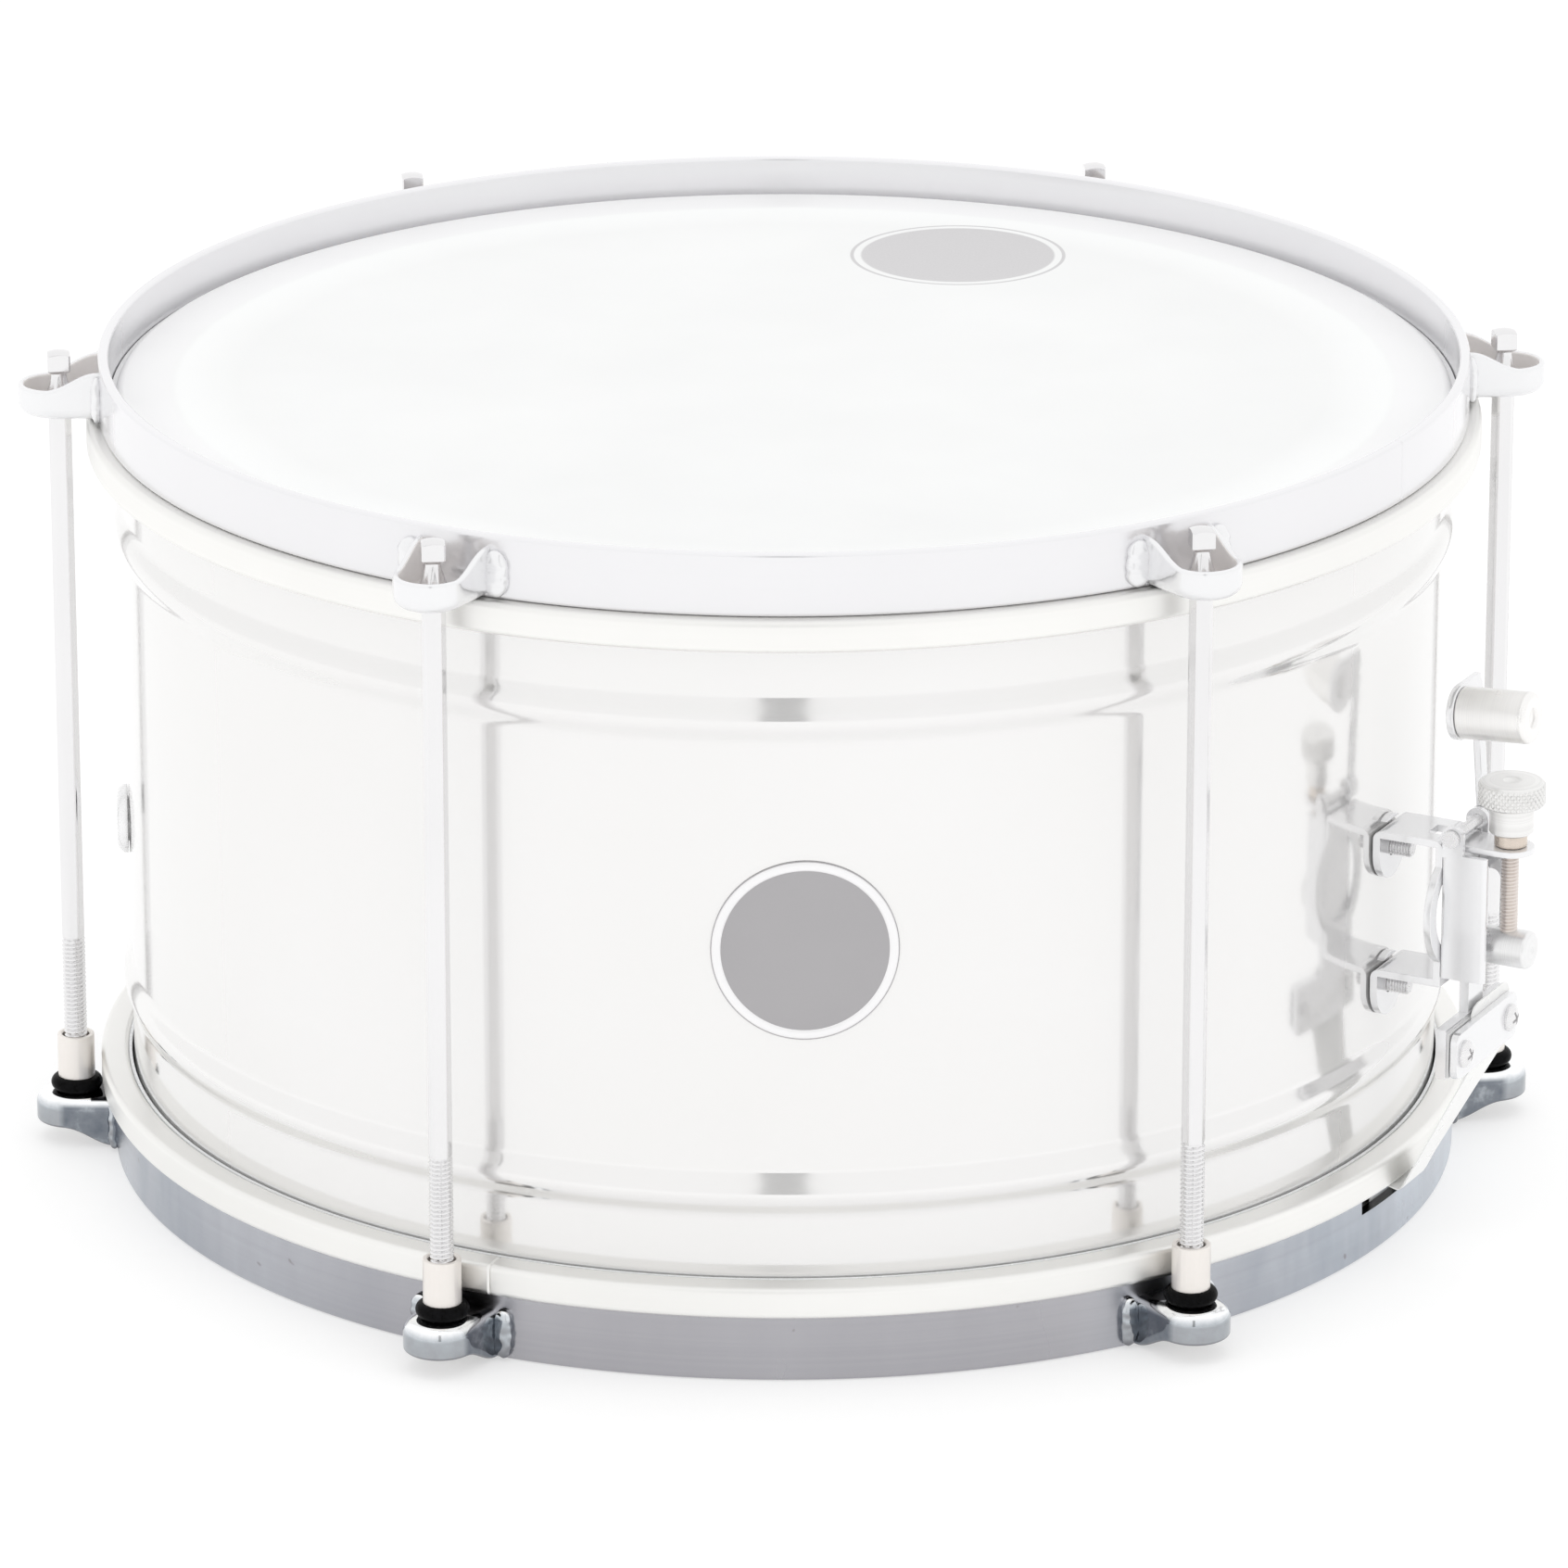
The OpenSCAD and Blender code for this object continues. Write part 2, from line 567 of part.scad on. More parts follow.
module clamp_screws() { color("gainsboro") around(strainer_az) screws_on(jaw_r, clamp_screw_gap); }

// ---- Snares ----
module snare_wires() {
    color("silver") around(strainer_az) for (i = [0:strand_count - 1])
        translate([-strand_end_r, (i - (strand_count - 1) / 2) * strand_pitch, wire_z])
            rotate([0, 90, 0]) cylinder(h = 2 * strand_end_r, r = strand_r, $fn = 24);
}
module snare_end_plates() {
    half = strand_count * strand_pitch / 2 + 0.8;
    color("gold") around(strainer_az) for (s = [0, 1]) mirror([s, 0, 0])
        translate([0, 0, end_plate_z - end_plate_t]) linear_extrude(end_plate_t)
            polygon(soft_rect(end_plate_in, -half, end_plate_out, half, 2));
}
// Centre line of a strap: clamp, down past the flesh hoop, through the gate, round the edge.
function strap_path(mid) = concat([[mid, strap_top + 1], [mid, clamp_z - clamp_half_h - 1]],
    [[185.6, 18.4]], arc(183.4, 18.4, 1.9, -40, -90, 3), [[179.6, 16.4], [177.1, 16.35], [176.2, 15.6],
    [176.05, 14.5]], arc(171.65, 12.1, 4.4, -8, -90, 6), [[157.5, end_plate_z + strap_t / 2]]);
// Outline of a strap seen from outside, with a shift along the rim at its top.
function strap_outline(half, shift) = let (t0 = shift - half, t1 = shift + half, r = 4) concat(
    [[-half, -10], [half, -10], [half, 24]],
    arc(t1 - r, strap_top - r, r, 0, 90, 4), arc(t0 + r, strap_top - r, r, 90, 180, 4), [[-half, 24]]);
module strap_to(r, half, shift) {
    intersection() {
        translate([0, 30, 0]) rotate([90, 0, 0]) linear_extrude(60)
            polygon(ribbon(strap_path(r + plate_gap - strap_t / 2 - 0.08), strap_t));
        translate([end_plate_in, 0, 0]) rotate([90, 0, 90]) linear_extrude(80)
            polygon(strap_outline(half, shift));
    }
}
// The throw-off strap leans, so one of its clamp's screws goes through it.
module throwoff_strap() {
    color("white") around(strainer_az) difference() {
        strap_to(jaw_r, 12.4, 6.8);
        outwards(jaw_r, clamp_screw_gap / 2, clamp_z) cylinder(h = 10, r = 2.3);
    }
}
module butt_strap() { color("white") around(butt_az) strap_to(butt_jaw_r, 10.2, 0); }

// ---- Butt end ----
module butt_bracket() {
    arm = 84;
    foot_r = butt_jaw_r + sheet_t;
    color("silver") around(butt_az) difference() {
        union() {
            bar(tab_r, tab_r + sheet_t, bracket_half, bolt_low_z, bolt_high_z);
            for (z = [bolt_low_z, bolt_high_z]) outwards(tab_r, 0, z) cylinder(h = sheet_t, r = bracket_half);
            bar(tab_r, foot_r, bracket_half, arm - sheet_t, arm);
            bar(butt_jaw_r, foot_r, bracket_half, clamp_z, arm);
            jaw(butt_jaw_r, butt_half_w);
        }
        jaw_holes(butt_jaw_r, butt_screw_gap);
        bend_cut(foot_r, arm, -1);
        for (z = [bolt_low_z, bolt_high_z]) outwards(tab_r - 3, 0, z) cylinder(h = 8, r = 2.55);
    }
}
module butt_bolts() { color("silver") bolt_set(butt_az); }
module butt_bolt_washers() { color("gray") bolt_washer_set(butt_az); }
module butt_clamp_pad() {
    color("lightgray") around(butt_az) pad_on(butt_jaw_r, butt_half_w, butt_screw_gap);
}
module butt_clamp_plate() {
    color("silver") around(butt_az) plate_on(butt_jaw_r, butt_half_w, butt_screw_gap);
}
module butt_clamp_screws() { color("gainsboro") around(butt_az) screws_on(butt_jaw_r, butt_screw_gap); }

shell();
badge();
air_vent();
batter_head();
batter_flesh_hoop();
batter_hoop();
batter_hoop_claws();
snare_side_head();
snare_side_flesh_hoop();
snare_side_hoop();
snare_side_hoop_claws();
tension_rod(0);  // tension_rod_1
tension_rod(1);  // tension_rod_2
tension_rod(2);  // tension_rod_3
tension_rod(3);  // tension_rod_4
tension_rod(4);  // tension_rod_5
tension_rod(5);  // tension_rod_6
rod_washers();
barrel_nuts();
rubber_rings();
strainer_bracket();
strainer_bolts();
strainer_bolt_washers();
strainer_housing();
lever_pivot_pin();
throwoff_lever();
lever_grip();
lever_grip_rivet();
carriage();
adjusting_knob();
knob_bush();
adjusting_screw();
cross_nut();
slider_bar();
clamp_pad();
clamp_plate();
clamp_screws();
snare_wires();
snare_end_plates();
throwoff_strap();
butt_strap();
butt_bracket();
butt_bolts();
butt_bolt_washers();
butt_clamp_pad();
butt_clamp_plate();
butt_clamp_screws();
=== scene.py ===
import math

import bmesh
import bpy
from mathutils import Matrix, Vector, noise


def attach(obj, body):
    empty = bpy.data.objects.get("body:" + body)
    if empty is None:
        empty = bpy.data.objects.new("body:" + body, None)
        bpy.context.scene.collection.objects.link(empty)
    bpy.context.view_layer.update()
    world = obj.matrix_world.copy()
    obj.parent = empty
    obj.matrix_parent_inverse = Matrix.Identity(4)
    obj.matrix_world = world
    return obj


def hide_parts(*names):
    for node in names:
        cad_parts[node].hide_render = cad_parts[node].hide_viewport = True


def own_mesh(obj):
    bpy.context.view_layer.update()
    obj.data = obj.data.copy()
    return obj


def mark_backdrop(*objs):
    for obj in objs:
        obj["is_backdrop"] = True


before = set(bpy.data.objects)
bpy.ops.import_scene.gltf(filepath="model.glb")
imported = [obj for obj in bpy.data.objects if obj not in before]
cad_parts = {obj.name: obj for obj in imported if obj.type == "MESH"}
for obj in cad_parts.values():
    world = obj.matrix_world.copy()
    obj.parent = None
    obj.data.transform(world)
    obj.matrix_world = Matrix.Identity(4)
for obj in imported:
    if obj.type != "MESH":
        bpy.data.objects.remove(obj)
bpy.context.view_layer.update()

# ---------------------------------------------------------------- sizes, in millimetres, as in the CAD
MM = 0.001
DRUM_H = 219.5
SHELL_R, SHELL_WALL = 174.4, 1.6
BEADS = (48.4, 174.4)
BEAD_OUT, BEAD_HALF = 2.2, 6.5
HOOP_R, HOOP_WALL = 179.8, 2.8
TOP_HOOP_Z, LOW_HOOP_H = 203.2, 17.8
FLESH_R, FLESH_H = 183.2, 8.5
SKIN_TOP, SKIN_LOW, SKIN_T = 210.0, 9.4, 0.4
EDGE_C, EDGE_R = 173.0, 2.0
FLESH_IN = 175.5
ROD_R, ROD_AZ = 190.0, [30 + 60 * i for i in range(6)]
CLAW_C, CLAW_HALF, CLAW_WALL, CLAW_FLOOR = 191.5, 9.4, 1.7, 2.0
CLAW_H, CLAW_END_H, CLAW_FLARE = 13.2, 8.2, 4.1
CLAW_TOP_Z, CLAW_LOW_Z = 203.4, 13.4
SEAT_Z = CLAW_TOP_Z + CLAW_FLOOR
NUT_R, NUT_TOP = 4.95, 29.3
THREAD_Z = 56.5
STRAINER_AZ, BUTT_AZ, VENT_AZ, BADGE_AZ = 60, 240, -89.5, -1.2
VENT_Z, BADGE_Z = 90.5, 114
BOLT_Z = (70.2, 108)
PIVOT_R, PIVOT_Z, LEVER_LEAN, LEVER_LEN = 197.0, 116.0, 4.3, 31.3
SCREW_R, CROSS_Z = 209.6, 85.6
STRANDS, STRAND_PITCH, STRAND_LEN = 20, 2.1, 312.0
# The snare gates: the height of their floor, and half of their width in degrees.
GATE_FLOOR_Z, GATE_HALF = 12.4, 6.3


# ---------------------------------------------------------------- building meshes
def at(x, y, z):
    return Matrix.Translation((x, y, z))


def around(az):
    """+X outwards at an azimuth, +Y along the rim, +Z up."""
    return Matrix.Rotation(math.radians(az - 90), 4, "Z")


def outwards(r, t, z):
    """+Z pointing outwards from the drum's axis."""
    return at(r, t, z) @ Matrix.Rotation(math.radians(90), 4, "Y")


def arc(cx, cy, r, a0, a1, n):
    return [(cx + r * math.cos(math.radians(a0 + (a1 - a0) * i / n)),
             cy + r * math.sin(math.radians(a0 + (a1 - a0) * i / n))) for i in range(n + 1)]


def soft_rect(x0, y0, x1, y1, r, n=6):
    return (arc(x1 - r, y0 + r, r, -90, 0, n) + arc(x1 - r, y1 - r, r, 0, 90, n)
            + arc(x0 + r, y1 - r, r, 90, 180, n) + arc(x0 + r, y0 + r, r, 180, 270, n))


class Geo:
    """Vertices in millimetres, and faces, of one piece."""

    def __init__(self):
        self.verts, self.faces = [], []

    def add(self, verts, faces, m=None):
        base = len(self.verts)
        self.verts += [m @ Vector(v) if m else Vector(v) for v in verts]
        self.faces += [tuple(base + i for i in f) for f in faces]
        return self

    def loft(self, rings, m=None, loop=False):
        n, rows = len(rings[0]), len(rings)
        faces = []
        for k in range(rows if loop else rows - 1):
            a, b = k * n, ((k + 1) % rows) * n
            faces += [(a + i, a + (i + 1) % n, b + (i + 1) % n, b + i) for i in range(n)]
        if not loop:
            faces += [tuple(range(n - 1, -1, -1)), tuple((rows - 1) * n + i for i in range(n))]
        return self.add([p for ring in rings for p in ring], faces, m)

    def lathe(self, profile, seg=64, m=None):
        """A closed outline of (radius, height), turned about Z."""
        rings = []
        for i in range(seg):
            a = 2 * math.pi * i / seg
            rings.append([(r * math.cos(a), r * math.sin(a), z) for r, z in profile])
        return self.loft(rings, m, loop=True)

    def prism(self, outline, h0, h1, m=None):
        return self.loft([[(x, y, h0) for x, y in outline], [(x, y, h1) for x, y in outline]], m)


def make(name, geo, mat, body, stands_for=(), angle=35, weighted=True):
    """A piece from Geo that rides on a body, and stands for the CAD nodes that it replaces."""
    mesh = bpy.data.meshes.new(name)
    mesh.from_pydata([v * MM for v in geo.verts], [], geo.faces)
    bm = bmesh.new()
    bm.from_mesh(mesh)
    bmesh.ops.remove_doubles(bm, verts=bm.verts, dist=1e-7)
    bmesh.ops.dissolve_degenerate(bm, edges=bm.edges, dist=1e-7)
    bmesh.ops.recalc_face_normals(bm, faces=bm.faces)
    bm.to_mesh(mesh)
    bm.free()
    mesh.shade_smooth()
    mesh.set_sharp_from_angle(angle=math.radians(angle))
    mesh.materials.append(mat)
    obj = bpy.data.objects.new(name, mesh)
    bpy.context.scene.collection.objects.link(obj)
    if weighted:
        obj.modifiers.new("normals", "WEIGHTED_NORMAL").keep_sharp = True
    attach(obj, body)
    if stands_for:
        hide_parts(*stands_for)
    return obj


def add_bevel(obj, width):
    mod = obj.modifiers.new("bevel", "BEVEL")
    mod.width = width * MM
    mod.segments = 2
    mod.limit_method = "ANGLE"
    mod.angle_limit = math.radians(38)
    mod.harden_normals = True


def dress(node, mat, bevel):
    """A CAD node that stays: its seams welded, its edges softened by modifiers, and a material."""
    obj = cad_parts[node]
    obj.data.materials.clear()
    obj.data.materials.append(mat)
    weld = obj.modifiers.new("weld", "WELD")
    weld.merge_threshold = 0.000004
    flat = obj.modifiers.new("flat", "DECIMATE")
    flat.decimate_type = "DISSOLVE"
    flat.angle_limit = math.radians(1.0)
    add_bevel(obj, bevel)
    obj.modifiers.new("normals", "WEIGHTED_NORMAL").keep_sharp = True


# ---------------------------------------------------------------- materials
def opaque(value):
    return (value[0], value[1], value[2], 1.0)


class Nodes:
    """A small helper for building a node tree."""

    def __init__(self, name):
        self.mat = bpy.data.materials.new(name)
        self.mat.use_nodes = True
        self.tree = self.mat.node_tree
        self.bsdf = self.tree.nodes["Principled BSDF"]
        self.coord = self.new("ShaderNodeTexCoord")

    def new(self, kind, **values):
        node = self.tree.nodes.new(kind)
        for key, value in values.items():
            setattr(node, key, value)
        return node

    def link(self, out, into):
        self.tree.links.new(out, into)

    def set(self, **values):
        for key, value in values.items():
            self.bsdf.inputs[key.replace("_", " ")].default_value = value

    def noise(self, scale, stretch=(1, 1, 1), detail=3.0, rough=0.55, offset=(0, 0, 0)):
        mapping = self.new("ShaderNodeMapping")
        mapping.inputs["Scale"].default_value = stretch
        mapping.inputs["Location"].default_value = offset
        tex = self.new("ShaderNodeTexNoise")
        tex.inputs["Scale"].default_value = scale
        tex.inputs["Detail"].default_value = detail
        tex.inputs["Roughness"].default_value = rough
        self.link(self.coord.outputs["Object"], mapping.inputs["Vector"])
        self.link(mapping.outputs["Vector"], tex.inputs["Vector"])
        return tex.outputs["Fac"]

    def ramp(self, fac, stops):
        node = self.new("ShaderNodeValToRGB")
        ramp = node.color_ramp
        while len(ramp.elements) < len(stops):
            ramp.elements.new(0.5)
        for element, (pos, col) in zip(ramp.elements, stops):
            element.position = pos
            element.color = opaque(col)
        self.link(fac, node.inputs["Fac"])
        return node.outputs["Color"]

    def span(self, fac, low, high, f0=0.0, f1=1.0):
        node = self.new("ShaderNodeMapRange")
        for key, value in (("From Min", f0), ("From Max", f1), ("To Min", low), ("To Max", high)):
            node.inputs[key].default_value = value
        self.link(fac, node.inputs["Value"])
        return node.outputs["Result"]

    def math(self, op, a, b=None):
        node = self.new("ShaderNodeMath", operation=op)
        for socket, value in zip(node.inputs, (a, b)):
            if value is None:
                continue
            if isinstance(value, (int, float)):
                socket.default_value = value
            else:
                self.link(value, socket)
        return node.outputs[0]

    def mix(self, fac, a, b):
        node = self.new("ShaderNodeMix", data_type="RGBA")
        self.link(fac, node.inputs["Factor"])
        for socket, value in ((node.inputs[6], a), (node.inputs[7], b)):
            if isinstance(value, tuple):
                socket.default_value = opaque(value)
            else:
                self.link(value, socket)
        return node.outputs[2]

    def bump(self, height, distance):
        node = self.new("ShaderNodeBump")
        node.inputs["Strength"].default_value = 1.0
        node.inputs["Distance"].default_value = distance
        self.link(height, node.inputs["Height"])
        return node.outputs["Normal"]


def around_noise(n, scale, fine):
    """Noise drawn out along the rim, as left by turning or rolling."""
    return n.noise(scale, stretch=(0.06, 0.06, fine / scale), detail=4.0)


def metal(name, dark, light, rough, lines=None, grain=900.0, bump=0.000004, metallic=1.0, blotch=9.0):
    """A metal with a cloudy tone, wandering roughness and fine marks.

    lines is the scale of marks along the rim, and grain that of marks without a direction.
    """
    n = Nodes(name)
    cloud = n.noise(blotch, detail=4.0)
    color = n.ramp(cloud, ((0.3, dark), (0.7, light)))
    marks = around_noise(n, 40.0, fine=lines) if lines else n.noise(grain, detail=2.0)
    color = n.mix(n.span(marks, 0.0, 0.10, 0.35, 0.75), color, dark)
    n.link(color, n.bsdf.inputs["Base Color"])
    smear = n.math("ADD", n.math("MULTIPLY", cloud, 0.45), n.math("MULTIPLY", marks, 0.55))
    n.link(n.span(smear, rough[0], rough[1], 0.3, 0.7), n.bsdf.inputs["Roughness"])
    n.link(n.bump(marks, bump), n.bsdf.inputs["Normal"])
    n.set(Metallic=metallic)
    return n.mat


def turned(name, color, dark, centre, axis):
    """A lathe-turned metal: fine rings about an axis through a centre."""
    rings = 5200.0
    n = Nodes(name)
    shift = n.new("ShaderNodeVectorMath", operation="SUBTRACT")
    shift.inputs[1].default_value = centre
    n.link(n.coord.outputs["Object"], shift.inputs[0])
    along = n.new("ShaderNodeVectorMath", operation="DOT_PRODUCT")
    along.inputs[1].default_value = axis
    n.link(shift.outputs["Vector"], along.inputs[0])
    size = n.new("ShaderNodeVectorMath", operation="LENGTH")
    n.link(shift.outputs["Vector"], size.inputs[0])
    square = n.math("SUBTRACT", n.math("POWER", size.outputs["Value"], 2.0),
                    n.math("POWER", along.outputs["Value"], 2.0))
    radius = n.math("SQRT", n.math("MAXIMUM", square, 0.0))
    where = n.new("ShaderNodeCombineXYZ")
    n.link(n.math("MULTIPLY", radius, rings), where.inputs[0])
    n.link(n.math("MULTIPLY", along.outputs["Value"], rings * 0.8), where.inputs[1])
    tex = n.new("ShaderNodeTexNoise")
    tex.inputs["Scale"].default_value = 1.0
    tex.inputs["Detail"].default_value = 2.0
    n.link(where.outputs["Vector"], tex.inputs["Vector"])
    cloud = n.noise(120.0, detail=3.0)
    n.link(n.mix(n.span(tex.outputs["Fac"], 0.0, 1.0, 0.35, 0.75), color, dark), n.bsdf.inputs["Base Color"])
    n.link(n.span(cloud, 0.25, 0.4, 0.3, 0.7), n.bsdf.inputs["Roughness"])
    n.link(n.bump(tex.outputs["Fac"], 0.00002), n.bsdf.inputs["Normal"])
    n.set(Metallic=1.0)
    return n.mat


def radial(n):
    """Distance from the drum's axis, in metres."""
    flat = n.new("ShaderNodeVectorMath", operation="MULTIPLY")
    flat.inputs[1].default_value = (1, 1, 0)
    n.link(n.coord.outputs["Object"], flat.inputs[0])
    size = n.new("ShaderNodeVectorMath", operation="LENGTH")
    n.link(flat.outputs["Vector"], size.inputs[0])
    return size.outputs["Value"]


MARK_PLACE, MARK_SIZE = (0.0533, 0.1105), (0.0296, 0.0291)


def coated_film(name):
    """The batter head: sprayed white coating on a hazy film, bare beyond a ring, with a printed oval."""
    n = Nodes(name)
    grain = n.noise(1500.0, detail=3.0, rough=0.7)
    cloud = n.noise(14.0, detail=3.0)
    wobble = n.math("MULTIPLY", n.math("SUBTRACT", n.noise(55.0, detail=4.0), 0.5), 0.0012)
    radius = n.math("ADD", radial(n), wobble)
    coat = n.ramp(cloud, ((0.3, (0.785, 0.79, 0.788)), (0.7, (0.815, 0.82, 0.817))))
    thick = n.math("MULTIPLY", n.span(radius, 0.0, 0.6, 0.143, 0.158), n.span(radius, 1.0, 0.0, 0.159, 0.164))
    coat = n.mix(thick, coat, (0.88, 0.89, 0.887))
    bare = n.ramp(cloud, ((0.3, (0.80, 0.80, 0.805)), (0.7, (0.83, 0.83, 0.835))))
    edge = n.span(radius, 0.0, 1.0, 0.1595, 0.1615)
    color = n.mix(edge, coat, bare)
    # The printed oval, drawn as an outline and a flat grey field.
    place = n.new("ShaderNodeMapping", vector_type="TEXTURE")
    place.inputs["Location"].default_value = (MARK_PLACE[0], MARK_PLACE[1], 0)
    place.inputs["Scale"].default_value = (MARK_SIZE[0], MARK_SIZE[1], 1)
    n.link(n.coord.outputs["Object"], place.inputs["Vector"])
    flat = n.new("ShaderNodeVectorMath", operation="MULTIPLY")
    flat.inputs[1].default_value = (1, 1, 0)
    n.link(place.outputs["Vector"], flat.inputs[0])
    size = n.new("ShaderNodeVectorMath", operation="LENGTH")
    n.link(flat.outputs["Vector"], size.inputs[0])
    oval = size.outputs["Value"]
    field = n.span(oval, 1.0, 0.0, 0.885, 0.905)
    line = n.math("MULTIPLY", n.span(oval, 0.0, 1.0, 0.958, 0.966), n.span(oval, 1.0, 0.0, 0.99, 1.0))
    ink = n.ramp(grain, ((0.2, (0.535, 0.527, 0.535)), (0.8, (0.595, 0.587, 0.595))))
    color = n.mix(n.math("MAXIMUM", field, line), color, ink)
    n.link(color, n.bsdf.inputs["Base Color"])
    n.link(n.span(edge, 0.62, 0.28), n.bsdf.inputs["Roughness"])
    height = n.math("MULTIPLY", grain, n.span(edge, 1.0, 0.05))
    n.link(n.bump(height, 0.00005), n.bsdf.inputs["Normal"])
    return n.mat


def brushed_low_hoop(name):
    """The lower hoop's brushed chrome, with a painted reflection: grey in front, bluer and unevenly toned
    towards its sides.
    """
    n = Nodes(name)
    apart = n.new("ShaderNodeSeparateXYZ")
    n.link(n.coord.outputs["Object"], apart.inputs[0])
    side = n.math("ADD", n.math("ABSOLUTE", apart.outputs["X"]), n.math("MULTIPLY", apart.outputs["X"], 0.2))
    cloud = n.noise(16.0, stretch=(1, 1, 0.3), detail=5.0, rough=0.6)
    marks = around_noise(n, 40.0, fine=700.0)
    # Painted reflection: a grey front tone and a bluer, blotchy flank tone, blended by position towards the
    # sides.
    painted_front = n.ramp(cloud, ((0.3, (0.405, 0.40, 0.425)), (0.7, (0.46, 0.455, 0.48))))
    painted_flank = n.ramp(cloud, ((0.35, (0.33, 0.38, 0.44)), (0.5, (0.49, 0.52, 0.57)), (0.65, (0.61, 0.66, 0.72))))
    color = n.mix(n.span(side, 0.0, 1.0, 0.075, 0.165), painted_front, painted_flank)
    color = n.mix(n.span(marks, 0.0, 0.16, 0.35, 0.75), color, (0.27, 0.27, 0.30))
    speck = n.noise(210.0, detail=1.0, offset=(3, 1, 2))
    color = n.mix(n.span(speck, 0.0, 0.5, 0.76, 0.79), color, (0.25, 0.22, 0.22))
    # Painted shade, near black, on the sawn floor of the snare gates.
    inner = n.span(apart.outputs["Z"], 1.0, 0.0, 0.0150, 0.0155)
    up = n.new("ShaderNodeSeparateXYZ")
    n.link(n.coord.outputs["Normal"], up.inputs[0])
    color = n.mix(n.math("MULTIPLY", inner, n.span(up.outputs["Z"], 0.0, 1.0, 0.6, 0.8)), color,
                  (0.015, 0.015, 0.017))
    n.link(color, n.bsdf.inputs["Base Color"])
    n.link(n.span(cloud, 0.18, 0.32, 0.3, 0.7), n.bsdf.inputs["Roughness"])
    n.link(n.bump(marks, 0.000004), n.bsdf.inputs["Normal"])
    n.set(Metallic=1.0)
    return n.mat


def film(name, dark, light, rough=0.25, shade_radius=None):
    """A plain film or soft plastic. shade_radius is the radius, low on the drum, beyond which the film is
    painted near black as shade.
    """
    n = Nodes(name)
    cloud = n.noise(18.0, detail=4.0)
    color = n.ramp(cloud, ((0.3, dark), (0.7, light)))
    # Painted shade: near black on the film low on the drum, beyond a radius.
    if shade_radius:
        apart = n.new("ShaderNodeSeparateXYZ")
        n.link(n.coord.outputs["Object"], apart.inputs[0])
        low = n.span(apart.outputs["Z"], 1.0, 0.0, 0.0176, 0.0180)
        color = n.mix(n.math("MULTIPLY", n.span(radial(n), 0.0, 1.0, shade_radius, shade_radius + 0.0004), low), color,
                      (0.008, 0.008, 0.009))
    n.link(color, n.bsdf.inputs["Base Color"])
    n.link(n.span(n.noise(160.0), rough - 0.06, rough + 0.1, 0.3, 0.7), n.bsdf.inputs["Roughness"])
    n.link(n.bump(n.noise(420.0, detail=2.0), 0.00001), n.bsdf.inputs["Normal"])
    return n.mat


def rubber(name):
    n = Nodes(name)
    dust = n.noise(700.0, detail=4.0, rough=0.7)
    n.link(n.ramp(dust, ((0.35, (0.002, 0.002, 0.002)), (0.8, (0.008, 0.008, 0.009)))),
           n.bsdf.inputs["Base Color"])
    n.link(n.span(dust, 0.22, 0.42, 0.3, 0.7), n.bsdf.inputs["Roughness"])
    n.link(n.bump(dust, 0.00002), n.bsdf.inputs["Normal"])
    n.set(Specular_IOR_Level=0.04)
    return n.mat


